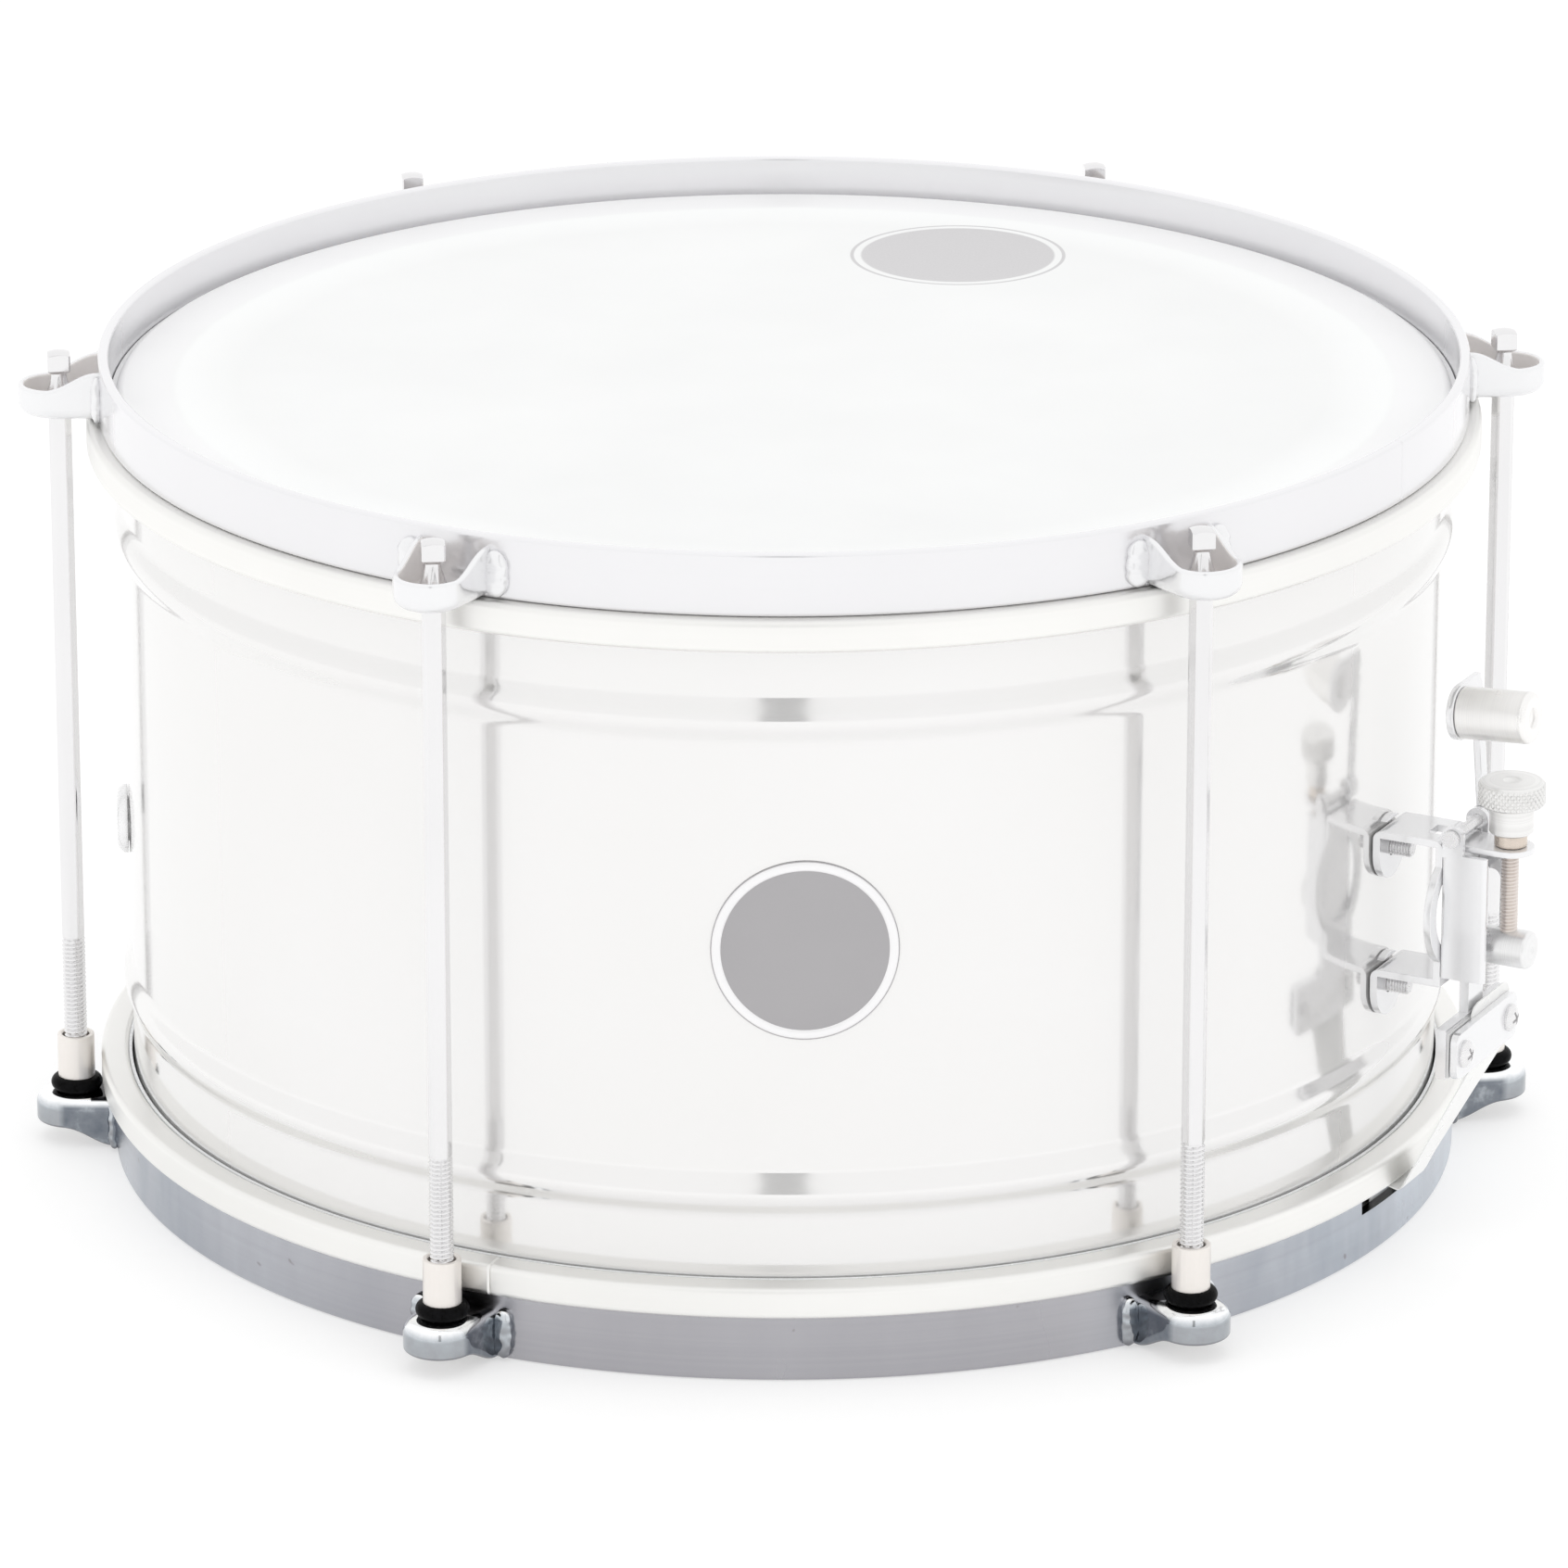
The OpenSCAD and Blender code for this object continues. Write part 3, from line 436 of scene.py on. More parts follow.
def low_claw_painted_chrome(name):
    """Chrome near the floor, toned as painted reflection and shade: bright upper edges, a darker underside,
    slate flanks, black beside the hoop.
    """
    n = Nodes(name)
    apart, flat = n.new("ShaderNodeSeparateXYZ"), n.new("ShaderNodeVectorMath", operation="MULTIPLY")
    n.link(n.coord.outputs["Normal"], apart.inputs[0])
    flat.inputs[1].default_value = (1, 1, 0)
    n.link(n.coord.outputs["Object"], flat.inputs[0])
    outward = n.new("ShaderNodeVectorMath", operation="NORMALIZE")
    facing = n.new("ShaderNodeVectorMath", operation="DOT_PRODUCT")
    n.link(flat.outputs["Vector"], outward.inputs[0])
    n.link(outward.outputs["Vector"], facing.inputs[0])
    n.link(n.coord.outputs["Normal"], facing.inputs[1])
    cloud = n.noise(150.0, detail=4.0, rough=0.6)
    up = n.math("ADD", apart.outputs["Z"], n.math("MULTIPLY", n.math("SUBTRACT", cloud, 0.5), 0.5))
    # Painted reflection: lighter on faces that point up, darker on faces that point down.
    painted_front = n.ramp(n.span(up, 0.0, 1.0, -1.0, 1.0), (
        (0.10, (0.16, 0.16, 0.18)), (0.44, (0.36, 0.37, 0.39)), (0.56, (0.44, 0.47, 0.50)),
        (0.70, (0.66, 0.69, 0.72)), (0.84, (0.95, 0.96, 0.97))))
    painted_flank = n.ramp(cloud, ((0.3, (0.15, 0.17, 0.20)), (0.55, (0.23, 0.25, 0.28)), (0.7, (0.42, 0.45, 0.48))))
    level = n.math("ABSOLUTE", apart.outputs["Z"])
    # Painted reflection: slate on faces that point sideways along the rim.
    painted_flank_mask = n.math("MULTIPLY", n.span(n.math("ABSOLUTE", facing.outputs["Value"]), 1.0, 0.0, 0.22, 0.42),
                   n.span(level, 1.0, 0.0, 0.3, 0.6))
    color = n.mix(painted_flank_mask, painted_front, painted_flank)
    # Painted shade: near black on upward faces close to the hoop.
    near = n.math("ADD", radial(n), n.math("MULTIPLY", n.math("SUBTRACT", cloud, 0.5), 0.006))
    shade = n.math("MULTIPLY", n.span(near, 1.0, 0.0, 0.1862, 0.1868),
                   n.span(apart.outputs["Z"], 0.0, 1.0, 0.75, 0.85))
    color = n.mix(shade, color, (0.01, 0.01, 0.012))
    n.link(color, n.bsdf.inputs["Base Color"])
    n.link(n.span(cloud, 0.05, 0.14, 0.3, 0.7), n.bsdf.inputs["Roughness"])
    n.link(n.bump(cloud, 0.00003), n.bsdf.inputs["Normal"])
    n.set(Metallic=1.0)
    return n.mat


GRIP_PLACE = (around(STRAINER_AZ) @ at(PIVOT_R, 0, PIVOT_Z)
              @ Matrix.Rotation(math.radians(-LEVER_LEAN), 4, "Y") @ at(1, 0, LEVER_LEN))
KNOB_PLACE = around(STRAINER_AZ) @ at(SCREW_R, 0, 124)
CROSS_PLACE = around(STRAINER_AZ) @ at(208, 0, CROSS_Z)


def turned_at(name, place, axis, color, dark):
    centre = place @ Vector((0, 0, 0)) * MM
    direction = (place.to_3x3() @ Vector(axis)).normalized()
    return turned(name, color, dark, tuple(centre), tuple(direction))


M = {
    "shell": metal("polished_shell", (0.838, 0.832, 0.822), (0.855, 0.85, 0.845), (0.07, 0.14), lines=900.0,
                   bump=0.0000015, metallic=0.72),
    "chrome": metal("chrome", (0.83, 0.83, 0.84), (0.88, 0.88, 0.89), (0.05, 0.12), metallic=0.6),
    # The claws' inside: its beige tone is a painted reflection.
    "claw_inside": metal("claw_inside_painted_reflection", (0.82, 0.79, 0.775), (0.92, 0.89, 0.875), (0.34, 0.5),
                         metallic=0.15, blotch=70.0),
    "vent": metal("vent_nickel", (0.86, 0.86, 0.865), (0.92, 0.92, 0.925), (0.22, 0.32), metallic=0.4),
    "pad": film("clamp_pad_rubber", (0.66, 0.66, 0.66), (0.74, 0.74, 0.735), rough=0.5),
    "hoop_chrome": metal("hoop_chrome", (0.81, 0.805, 0.82), (0.84, 0.835, 0.85), (0.10, 0.2), lines=700.0,
                         bump=0.000002, metallic=0.6),
    "rod_chrome": metal("rod_chrome", (0.79, 0.785, 0.79), (0.85, 0.845, 0.85), (0.10, 0.2)),
    "low_hoop": brushed_low_hoop("low_hoop_chrome"),
    "low_claw": low_claw_painted_chrome("low_claw_painted_chrome"),
    "flesh": metal("flesh_aluminium", (0.86, 0.855, 0.835), (0.92, 0.915, 0.895), (0.32, 0.46), lines=1200.0,
                   bump=0.000006),
    "nut": metal("nut_nickel", (0.84, 0.80, 0.76), (0.90, 0.865, 0.83), (0.32, 0.42), metallic=0.7),
    "steel": metal("washer_steel", (0.76, 0.755, 0.76), (0.84, 0.835, 0.84), (0.2, 0.34), metallic=0.7),
    "screw": metal("screw_steel", (0.70, 0.64, 0.60), (0.82, 0.76, 0.72), (0.25, 0.4), metallic=0.8),
    "bush": metal("bush_bronze", (0.62, 0.54, 0.47), (0.76, 0.68, 0.60), (0.22, 0.34)),
    "spring": metal("spring_steel", (0.62, 0.62, 0.63), (0.80, 0.80, 0.81), (0.15, 0.28)),
    "brass": metal("plate_brass", (0.66, 0.52, 0.27), (0.78, 0.64, 0.36), (0.2, 0.36)),
    "badge_rim": metal("badge_rim", (0.86, 0.855, 0.86), (0.90, 0.895, 0.90), (0.3, 0.4), metallic=0.5,
                       grain=2400.0),
    "badge_field": metal("badge_field", (0.385, 0.375, 0.385), (0.43, 0.42, 0.43), (0.34, 0.46), metallic=0.5,
                         grain=2400.0),
    "grip": turned_at("grip_aluminium", GRIP_PLACE, (1, 0, 0), (0.94, 0.93, 0.915), (0.89, 0.88, 0.87)),
    "knob": turned_at("knob_aluminium", KNOB_PLACE, (0, 0, 1), (0.90, 0.895, 0.885), (0.78, 0.775, 0.765)),
    "cross": turned_at("cross_aluminium", CROSS_PLACE, (1, 0, 0), (0.90, 0.90, 0.90), (0.78, 0.78, 0.78)),
    "head": coated_film("coated_film"),
    "snare_film": film("snare_film", (0.80, 0.81, 0.82), (0.88, 0.89, 0.89), shade_radius=0.1740),
    "strap": film("strap_film", (0.86, 0.86, 0.85), (0.92, 0.92, 0.91), rough=0.3),
    "rubber": rubber("black_rubber"),
}


# ---------------------------------------------------------------- shell, hoops and heads
def bead_r(z):
    """The shell's outer radius at a height."""
    out = 0.0
    for middle in BEADS:
        d = abs(z - middle) / BEAD_HALF
        if d < 1:
            out = BEAD_OUT * (0.5 + 0.5 * math.cos(math.pi * d)) ** 0.9
    return SHELL_R + out


def build_shell():
    """The shell as one wall with rolled edges, its beads, and a round hole for the air vent."""
    low, top = SKIN_LOW + SKIN_T + 0.1, SKIN_TOP - SKIN_T - 0.1
    heights = []
    for middle in BEADS:
        heights += [middle - BEAD_HALF - 0.6, middle + BEAD_HALF + 0.6]
        heights += [middle + BEAD_HALF * i / 12 for i in range(-12, 13)]
    heights += [VENT_Z + 0.8 * i for i in range(-11, 12)] + [30.0, 68.0, 115.0, 130.0, 150.0, 192.0]
    heights.sort()
    edge = 3.5
    outer = arc(SHELL_R - edge, low + edge, edge, -88, 0, 8) + [(bead_r(z), z) for z in heights] \
        + arc(SHELL_R - edge, top - edge, edge, 0, 88, 8)
    inner = [(r - SHELL_WALL, z) for r, z in outer]
    for k in list(range(9)) + list(range(len(outer) - 9, len(outer))):
        c = (SHELL_R - edge, low + edge) if k < 9 else (SHELL_R - edge, top - edge)
        d = Vector(outer[k]) - Vector(c)
        d *= (edge - SHELL_WALL) / edge
        inner[k] = (c[0] + d.x, c[1] + d.y)
    azimuths = sorted(set([round(i * 0.9375, 4) for i in range(384)]
                          + [round(360 + VENT_AZ + 0.25 * i, 4) for i in range(-13, 14)]))
    rows, count = len(outer), len(azimuths)

    def point(k, j, side):
        r, z = side[k]
        a = math.radians(azimuths[j] - 90)
        return (r * math.cos(a), r * math.sin(a), z)

    def is_hole(k, j):
        if not (0 <= k < rows - 1):
            return False
        z = (outer[k][1] + outer[k + 1][1]) / 2
        a = (azimuths[j % count] + azimuths[(j + 1) % count]) / 2 - 360 - VENT_AZ
        return math.hypot(z - VENT_Z, math.radians(a) * SHELL_R) < 6.9 and abs(a) < 10

    verts = [point(k, j, outer) for j in range(count) for k in range(rows)]
    verts += [point(k, j, inner) for j in range(count) for k in range(rows)]
    shift = count * rows
    faces = []
    for j in range(count):
        a, b = j * rows, ((j + 1) % count) * rows
        faces += [(a, b, b + shift, a + shift),
                  (a + rows - 1, b + rows - 1, b + rows - 1 + shift, a + rows - 1 + shift)]
        for k in range(rows - 1):
            if is_hole(k, j):
                for other, (p, q) in (((k - 1, j), (a + k, b + k)), ((k + 1, j), (a + k + 1, b + k + 1)),
                                      ((k, j - 1), (a + k, a + k + 1)), ((k, j + 1), (b + k, b + k + 1))):
                    if not is_hole(*other):
                        faces.append((p, q, q + shift, p + shift))
                continue
            faces += [(a + k, a + k + 1, b + k + 1, b + k),
                      (a + k + shift, b + k + shift, b + k + 1 + shift, a + k + 1 + shift)]
    return Geo().add(verts, faces)


def ring(outline, seam=None, gates=False):
    """An outline of (radius, height) turned about Z. seam is an azimuth where it was joined."""
    azimuths = [float(i) for i in range(360)]
    if seam is not None:
        azimuths += [seam % 360 + d for d in (-0.16, -0.07, 0.0, 0.07, 0.16)]
    if gates:
        for middle in (STRAINER_AZ, BUTT_AZ):
            for side in (-1, 1):
                azimuths += [middle + side * (GATE_HALF + d) for d in (-0.03, 0.03)]
    azimuths = sorted(set(round(a, 4) for a in azimuths))
    cx = sum(p[0] for p in outline) / len(outline)
    cy = sum(p[1] for p in outline) / len(outline)
    rings = []
    for az in azimuths:
        inset = 0.0
        if seam is not None:
            d = abs((az - seam + 180) % 360 - 180)
            inset = 0.32 if d < 0.03 else (0.2 if d < 0.1 else 0.0)
        cut = gates and any(abs((az - m + 180) % 360 - 180) < GATE_HALF for m in (STRAINER_AZ, BUTT_AZ))
        a = math.radians(az - 90)
        row = []
        for r, z in outline:
            r -= inset * (1 if r > cx else -1) if inset else 0
            z -= inset * (1 if z > cy else -1) if inset else 0
            if cut:
                z = min(z, GATE_FLOOR_Z + (z - LOW_HOOP_H) * 0.02)
            row.append((r * math.cos(a), r * math.sin(a), z))
        rings.append(row)
    return Geo().loft(rings, loop=True)


make("shell_visual", build_shell(), M["shell"], "drum", ["shell"], angle=50, weighted=False)
make("batter_hoop_visual", ring(soft_rect(HOOP_R - HOOP_WALL, TOP_HOOP_Z, HOOP_R, DRUM_H, 0.9), seam=58),
     M["hoop_chrome"], "drum", ["batter_hoop"])
make("snare_side_hoop_visual", ring(soft_rect(HOOP_R - HOOP_WALL, 0, HOOP_R, LOW_HOOP_H, 0.9), gates=True),
     M["low_hoop"], "drum", ["snare_side_hoop"])
for side, z in (("batter", TOP_HOOP_Z - FLESH_H), ("snare_side", LOW_HOOP_H)):
    flesh = ring(soft_rect(FLESH_IN, z, FLESH_R, z + FLESH_H, 1.7), seam=-27 if side == "snare_side" else 152)
    make(side + "_flesh_hoop_visual", flesh, M["flesh"], "drum", [side + "_flesh_hoop"])


def skin(top, down):
    """A head's film: flat skin, rounded edge and collar into the flesh hoop."""
    s = -1 if down else 1
    outer = [(r, top) for r in (0, 40, 80, 120, 150, 160, 166)] \
        + [(EDGE_C + (EDGE_R + SKIN_T) * math.sin(math.radians(a)),
            top - s * (EDGE_R + SKIN_T) * (1 - math.cos(math.radians(a)))) for a in range(0, 91, 10)]
    collar = EDGE_C + EDGE_R + SKIN_T
    if down:
        lip = top + 16.2
        outer += [(collar, lip), (collar + 0.4, lip), (collar + 0.4, lip - s * 0.4)]
    else:
        lip = top - 8.6
        outer += [(176.75, top - 2.3), (176.75, top - 6.6), (collar, top - 6.6), (collar, lip),
                  (collar + 2.3, lip), (collar + 2.3, lip - 0.4)]
    inner = [(collar - SKIN_T, lip - s * 0.4)] \
        + [(EDGE_C + EDGE_R * math.sin(math.radians(a)),
            top - s * SKIN_T - s * EDGE_R * (1 - math.cos(math.radians(a)))) for a in range(90, -1, -10)] \
        + [(r, top - s * SKIN_T) for r in (160, 120, 60, 0)]
    return Geo().lathe(outer + inner, seg=256)


make("batter_head_visual", skin(SKIN_TOP, False), M["head"], "drum", ["batter_head"])
make("snare_side_head_visual", skin(SKIN_LOW, True), M["snare_film"], "drum", ["snare_side_head"])


# ---------------------------------------------------------------- claws, rods and nuts
def claw_height(x):
    s = min(1.0, max(0.0, (CLAW_C + 2.5 - x) / 14.2))
    return CLAW_END_H + (CLAW_H - CLAW_END_H) * (0.5 - 0.5 * math.cos(math.pi * s))


def claw_section(h):
    """Outline across a claw's wall as (offset from its outer face, height)."""
    lip, fillet, soft = CLAW_WALL / 2, 0.9, 3.4
    return (arc(-soft, soft, soft, -90, 0, 6) + arc(-lip, h - lip, lip, 0, 180, 8)
            + arc(-CLAW_WALL - fillet, CLAW_FLOOR + fillet, fillet, 0, -90, 4))


def add_claw(geo, m):
    tilt = math.radians(CLAW_FLARE)
    x1, y1 = CLAW_C + CLAW_HALF * math.sin(tilt), CLAW_HALF * math.cos(tilt)
    leg = (x1 - HOOP_R + 1.2) / math.cos(tilt)
    path = [(x1 - leg * (1 - i / 12) * math.cos(tilt), y1 + leg * (1 - i / 12) * math.sin(tilt),
             math.sin(tilt), math.cos(tilt)) for i in range(12)]
    path += [(CLAW_C + CLAW_HALF * math.cos(a), CLAW_HALF * math.sin(a), math.cos(a), math.sin(a))
             for a in [math.radians((90 - CLAW_FLARE) * (1 - i / 12)) for i in range(25)]]
    path += [(x, -y, nx, -ny) for x, y, nx, ny in reversed(path[:12])]
    rings = [[(x + nx * o, y + ny * o, z) for o, z in claw_section(claw_height(x))] for x, y, nx, ny in path]
    n, rows = len(rings[0]), len(rings)
    faces = [(k * n + i, k * n + i + 1, (k + 1) * n + i + 1, (k + 1) * n + i)
             for k in range(rows - 1) for i in range(n - 1)]
    under = [k * n for k in range(rows)]
    floor = [k * n + n - 1 for k in range(rows)]
    last = (rows - 1) * n
    faces += [tuple(under), tuple(floor[::-1])]
    faces.append(tuple(list(range(n)) + list(range(last + n - 1, last - 1, -1))))
    geo.add([p for r in rings for p in r], faces, m)


def add_weld(geo, m, side, low, high, seed, breadth):
    """A lumpy bead along the corner between a claw's leg and the hoop."""
    rings, rows, count = [], 30, 20
    middle, half = (low + high) / 2, (high - low) / 2
    for k in range(rows + 1):
        s = -1 + 2 * k / rows
        size = max(0.02, (1 - abs(s) ** 3.2)) ** 0.5
        z = middle + half * s
        row = []
        for i in range(count):
            a = 2 * math.pi * i / count
            wide = breadth * math.copysign(abs(math.cos(a)) ** 0.8, math.cos(a))
            deep = 1.75 * math.copysign(abs(math.sin(a)) ** 0.9, math.sin(a))
            spot = Vector((seed * 7.3 + 1.6 * math.cos(a), 1.6 * math.sin(a), z * 0.6))
            lump = 1 + 0.16 * noise.noise(spot)
            ripple = 0.05 * math.sin(z * 1.6 + seed)
            x = HOOP_R + 0.25 + (deep * lump + ripple) * size
            sway = 0.25 * noise.noise(Vector((seed, z * 0.4, 2.0)))
            y = side * (CLAW_HALF + 2.6 + sway) + wide * lump * size
            row.append((x, y, z))
        rings.append(row)
    geo.loft(rings, m)


claws_top, claws_low, welds_top, welds_low = Geo(), Geo(), Geo(), Geo()
for i, az in enumerate(ROD_AZ):
    top = around(az) @ at(0, 0, CLAW_TOP_Z)
    low = around(az) @ at(0, 0, CLAW_LOW_Z) @ Matrix.Scale(-1, 4, (0, 0, 1))
    add_claw(claws_top, top)
    add_claw(claws_low, low)
    for side in (-1, 1):
        add_weld(welds_top, top, side, 0.4, 12.6, i + 10 * side + 3, 3.3)
        add_weld(welds_low, low, side, -0.3, 13.0, i + 10 * side + 31, 2.6)
top_claws = make("batter_hoop_claws_visual", claws_top, M["chrome"], "drum", ["batter_hoop_claws"],
                 angle=44)
top_claws.data.materials.append(M["claw_inside"])
for face in top_claws.data.polygons:
    spot = face.center / MM
    turn = min(ROD_AZ, key=lambda az: (around(az).inverted() @ spot - Vector((CLAW_C, 0, spot.z))).length)
    here = around(turn).inverted() @ spot
    flare = max(0.0, CLAW_C - here.x) * math.tan(math.radians(CLAW_FLARE))
    reach = math.hypot(here.x - CLAW_C, here.y) if here.x > CLAW_C else abs(here.y) - flare
    if reach < CLAW_HALF - CLAW_WALL + 0.25 and here.z > CLAW_TOP_Z + CLAW_FLOOR - 0.3:
        face.material_index = 1
make("snare_side_hoop_claws_visual", claws_low, M["low_claw"], "drum", ["snare_side_hoop_claws"],
     angle=44)
make("batter_hoop_welds", welds_top, M["chrome"], "drum", angle=80)
make("snare_side_hoop_welds", welds_low, M["low_claw"], "drum", angle=80)


def thread(geo, r_out, r_root, pitch, z0, z1, m, chamfer=0.6):
    """A real single-start screw thread with blunt crests, closed at both ends."""
    count = 24
    rows = max(8, int((z1 - z0) / pitch * 8))
    rings = []
    for k in range(rows + 1):
        z = z0 + (z1 - z0) * k / rows
        cut = max(0.0, chamfer - min(z - z0, z1 - z))
        row = []
        for i in range(count):
            a = 2 * math.pi * i / count
            phase = (z / pitch - i / count) % 1.0
            crest = min(1.0, max(0.0, 1.7 * (1 - abs(2 * phase - 1)) - 0.2))
            r = min(r_root + (r_out - r_root) * crest, r_out - cut)
            row.append((r * math.cos(a), r * math.sin(a), z))
        rings.append(row)
    geo.loft(rings, m)


def squared(radius_at, angles, z):
    """A level ring of points at the radius that each angle, in degrees, has."""
    return [(radius_at(a) * math.cos(math.radians(a)), radius_at(a) * math.sin(math.radians(a)), z)
            for a in angles]


def hex_r(a, flat=2.69):
    return min(flat / math.cos(math.radians((a + 30) % 60 - 30)), flat * 1.125)


def square_r(a, half=2.95):
    return min(half / math.cos(math.radians((a + 45) % 90 - 45)), half * 1.33)


HEX_ANGLES = [60 * k + d for k in range(6) for d in (-26, -15, 0, 15, 26)]
SQUARE_ANGLES = [90 * k + d for k in range(4) for d in (-41, -30, -20, -10, 0, 10, 20, 30, 41)]


def build_rod(i):
    geo = Geo()
    m = around(ROD_AZ[i]) @ at(ROD_R, 0, 0)
    turn = m @ Matrix.Rotation(math.radians(-23 - 61 * i), 4, "Z")
    flange = SEAT_Z + 1.3
    thread(geo, 3.08, 2.5, 1.22, 17.0, THREAD_Z + 0.4, m)
    hexagon = [squared(hex_r, HEX_ANGLES, z) for z in (THREAD_Z, THREAD_Z + 0.7, flange + 0.3)]
    hexagon[0] = [(x * 0.9, y * 0.9, z) for x, y, z in hexagon[0]]
    geo.loft(hexagon, turn)
    geo.lathe([(0, flange), (4.4, flange), (4.8, flange + 0.35), (4.7, flange + 0.95), (4.3, flange + 1.2),
               (0, flange + 1.2)], 48, turn)
    neck = []
    for k in range(13):
        s = k / 12
        z = flange + 1.0 + 6.7 * s
        flare = 1.95 + 1.9 * (1 - s) ** 1.5
        row = []
        for j in range(48):
            a = 7.5 * j
            flute = 1 - 0.13 * (1 - s) * abs(math.cos(math.radians(4 * a))) ** 3
            r = flare * flute
            row.append((r * math.cos(math.radians(a)), r * math.sin(math.radians(a)), z))
        neck.append(row)
    geo.loft(neck, turn)
    base, head = flange + 7.4, []
    for z, scale in ((base, 0.66), (base + 0.8, 0.97), (base + 1.1, 1.0)):
        head.append([(x * scale, y * scale, z) for x, y, z in squared(square_r, SQUARE_ANGLES, z)])
    for scale in (1.0, 0.985, 0.93, 0.8, 0.6, 0.35, 0.12):
        row = squared(square_r, SQUARE_ANGLES, 0)
        out = []
        for x, y, _ in row:
            rho = math.hypot(x, y) * scale
            chamfer = 0.35 if scale == 1.0 else 0.08 if scale > 0.95 else 0
            z = DRUM_H + 0.6 - (9 - math.sqrt(81 - rho * rho)) - chamfer
            out.append((x * scale, y * scale, z))
        head.append(out)
    geo.loft(head, turn)
    return geo


for i in range(6):
    make(f"tension_rod_{i + 1}_visual", build_rod(i), M["rod_chrome"], f"rod_{i + 1}",
         [f"tension_rod_{i + 1}"], angle=30)

washers, nuts, rubbers = Geo(), Geo(), Geo()
for az in ROD_AZ:
    m = around(az) @ at(ROD_R, 0, 0)
    washers.lathe([(3.3, SEAT_Z), (5.5, SEAT_Z), (5.6, SEAT_Z + 0.2), (5.6, SEAT_Z + 0.9),
                   (5.3, SEAT_Z + 1.2), (3.3, SEAT_Z + 1.2)], 48, m)
    profile = [(0, 8.5), (NUT_R, 8.5), (NUT_R, NUT_TOP - 0.45), (NUT_R - 0.12, NUT_TOP - 0.15),
               (NUT_R - 0.45, NUT_TOP), (4.0, NUT_TOP), (3.62, NUT_TOP - 0.35), (3.6, NUT_TOP - 2.5),
               (3.0, NUT_TOP - 2.6), (3.0, 15.0), (0, 15.0)]
    rings = []
    for j in range(72):
        a = 2 * math.pi * j / 72
        dip = 0.035 if j % 3 == 0 else 0.0
        grooved = [(r - (dip if r > 4.9 else 0), z) for r, z in profile]
        rings.append([(r * math.cos(a), r * math.sin(a), z) for r, z in grooved])
    nuts.loft(rings, m, loop=True)
    nuts.prism([(6.4 * math.cos(math.radians(60 * k)), 6.4 * math.sin(math.radians(60 * k)))
                for k in range(6)], 7.9, 11.3, m)
    band = [(4.85 + 2.05 * math.cos(math.radians(a)), 15.45 + 2.0 * math.sin(math.radians(a)))
            for a in range(-110, 111, 10)]
    rubbers.lathe(band + [(NUT_R - 0.1, 17.3), (NUT_R - 0.1, 13.6)], 64, m)
make("rod_washers_visual", washers, M["steel"], "drum", ["rod_washers"])
make("barrel_nuts_visual", nuts, M["nut"], "drum", ["barrel_nuts"], angle=25)
make("rubber_rings_visual", rubbers, M["rubber"], "drum", ["rubber_rings"])


# ---------------------------------------------------------------- badge and air vent
def on_shell(az, z0, lift):
    """Maps flat (t, z) to the shell's curved face, standing out by lift."""
    def place(t, z, out):
        a = math.radians(az - 90) + t / SHELL_R
        r = SHELL_R + lift + out
        return (r * math.cos(a), r * math.sin(a), z0 + z)
    return place


def disc_on_shell(profile, place):
    """A closed profile of (radius, height above the shell), turned about the disc's own middle."""
    rings, seg = [], 128
    for i in range(seg):
        a = 2 * math.pi * i / seg
        rings.append([place(r * math.cos(a), r * math.sin(a), h) for r, h in profile])
    return Geo().loft(rings, loop=True)


badge_place = on_shell(BADGE_AZ, BADGE_Z, 0.1)
rim = [(20.7, 0.0), (23.3, 0.0), (23.5, 0.25), (23.3, 0.62), (22.9, 0.8), (21.7, 0.8), (21.3, 0.62),
       (21.1, 0.3)]
make("badge_rim_visual", disc_on_shell(rim, badge_place), M["badge_rim"], "drum", ["badge"],
     angle=60)
field = [(r, 0.0) for r in (0.0, 8, 14, 21.4)] \
    + [(21.4, 0.36), (18, 0.40), (12, 0.44), (6, 0.46), (0.0, 0.46)]
make("badge_field_visual", disc_on_shell(field, badge_place), M["badge_field"], "drum", ["badge"],
     angle=60)
outline = [(23.35, 0.0), (23.7, 0.0), (23.7, 0.32), (23.35, 0.32)]
make("badge_outline_visual", disc_on_shell(outline, badge_place), M["badge_field"], "drum",
     angle=30)

vent = [(4.6, -4.2), (5.0, -4.4), (8.2, -4.4), (8.4, -4.1), (8.2, -3.6), (6.0, -3.4), (6.0, 0.3), (9.1, 0.3)] \
    + arc(6.6, 0.45, 2.6, 2, 88, 8) + arc(5.9, 1.9, 1.25, 88, 180, 8)
make("air_vent_visual", Geo().lathe(vent, 96, around(VENT_AZ) @ outwards(SHELL_R, 0, VENT_Z)), M["vent"],
     "drum", ["air_vent"], angle=40)


# ---------------------------------------------------------------- snares and straps
strands = Geo()
coil_pitch, coil_r, wire_r, per_turn = 1.6, 0.62, 0.22, 8
for s in range(STRANDS):
    y = (s - (STRANDS - 1) / 2) * STRAND_PITCH
    z0 = SKIN_LOW - 0.3 - 0.85
    rows = int(STRAND_LEN / coil_pitch * per_turn)
    rings = []
    for k in range(rows + 1):
        x = -STRAND_LEN / 2 + STRAND_LEN * k / rows
        a = 2 * math.pi * k / per_turn + s
        fade = min(1.0, (STRAND_LEN / 2 - abs(x)) / 4.0)
        cy, cz = y + coil_r * fade * math.cos(a), z0 + coil_r * fade * math.sin(a)
        rings.append([(x, cy + wire_r * math.cos(a + b), cz + wire_r * math.sin(a + b))
                      for b in (0.0, 2.094, 4.189)])
    strands.loft(rings, around(STRAINER_AZ))
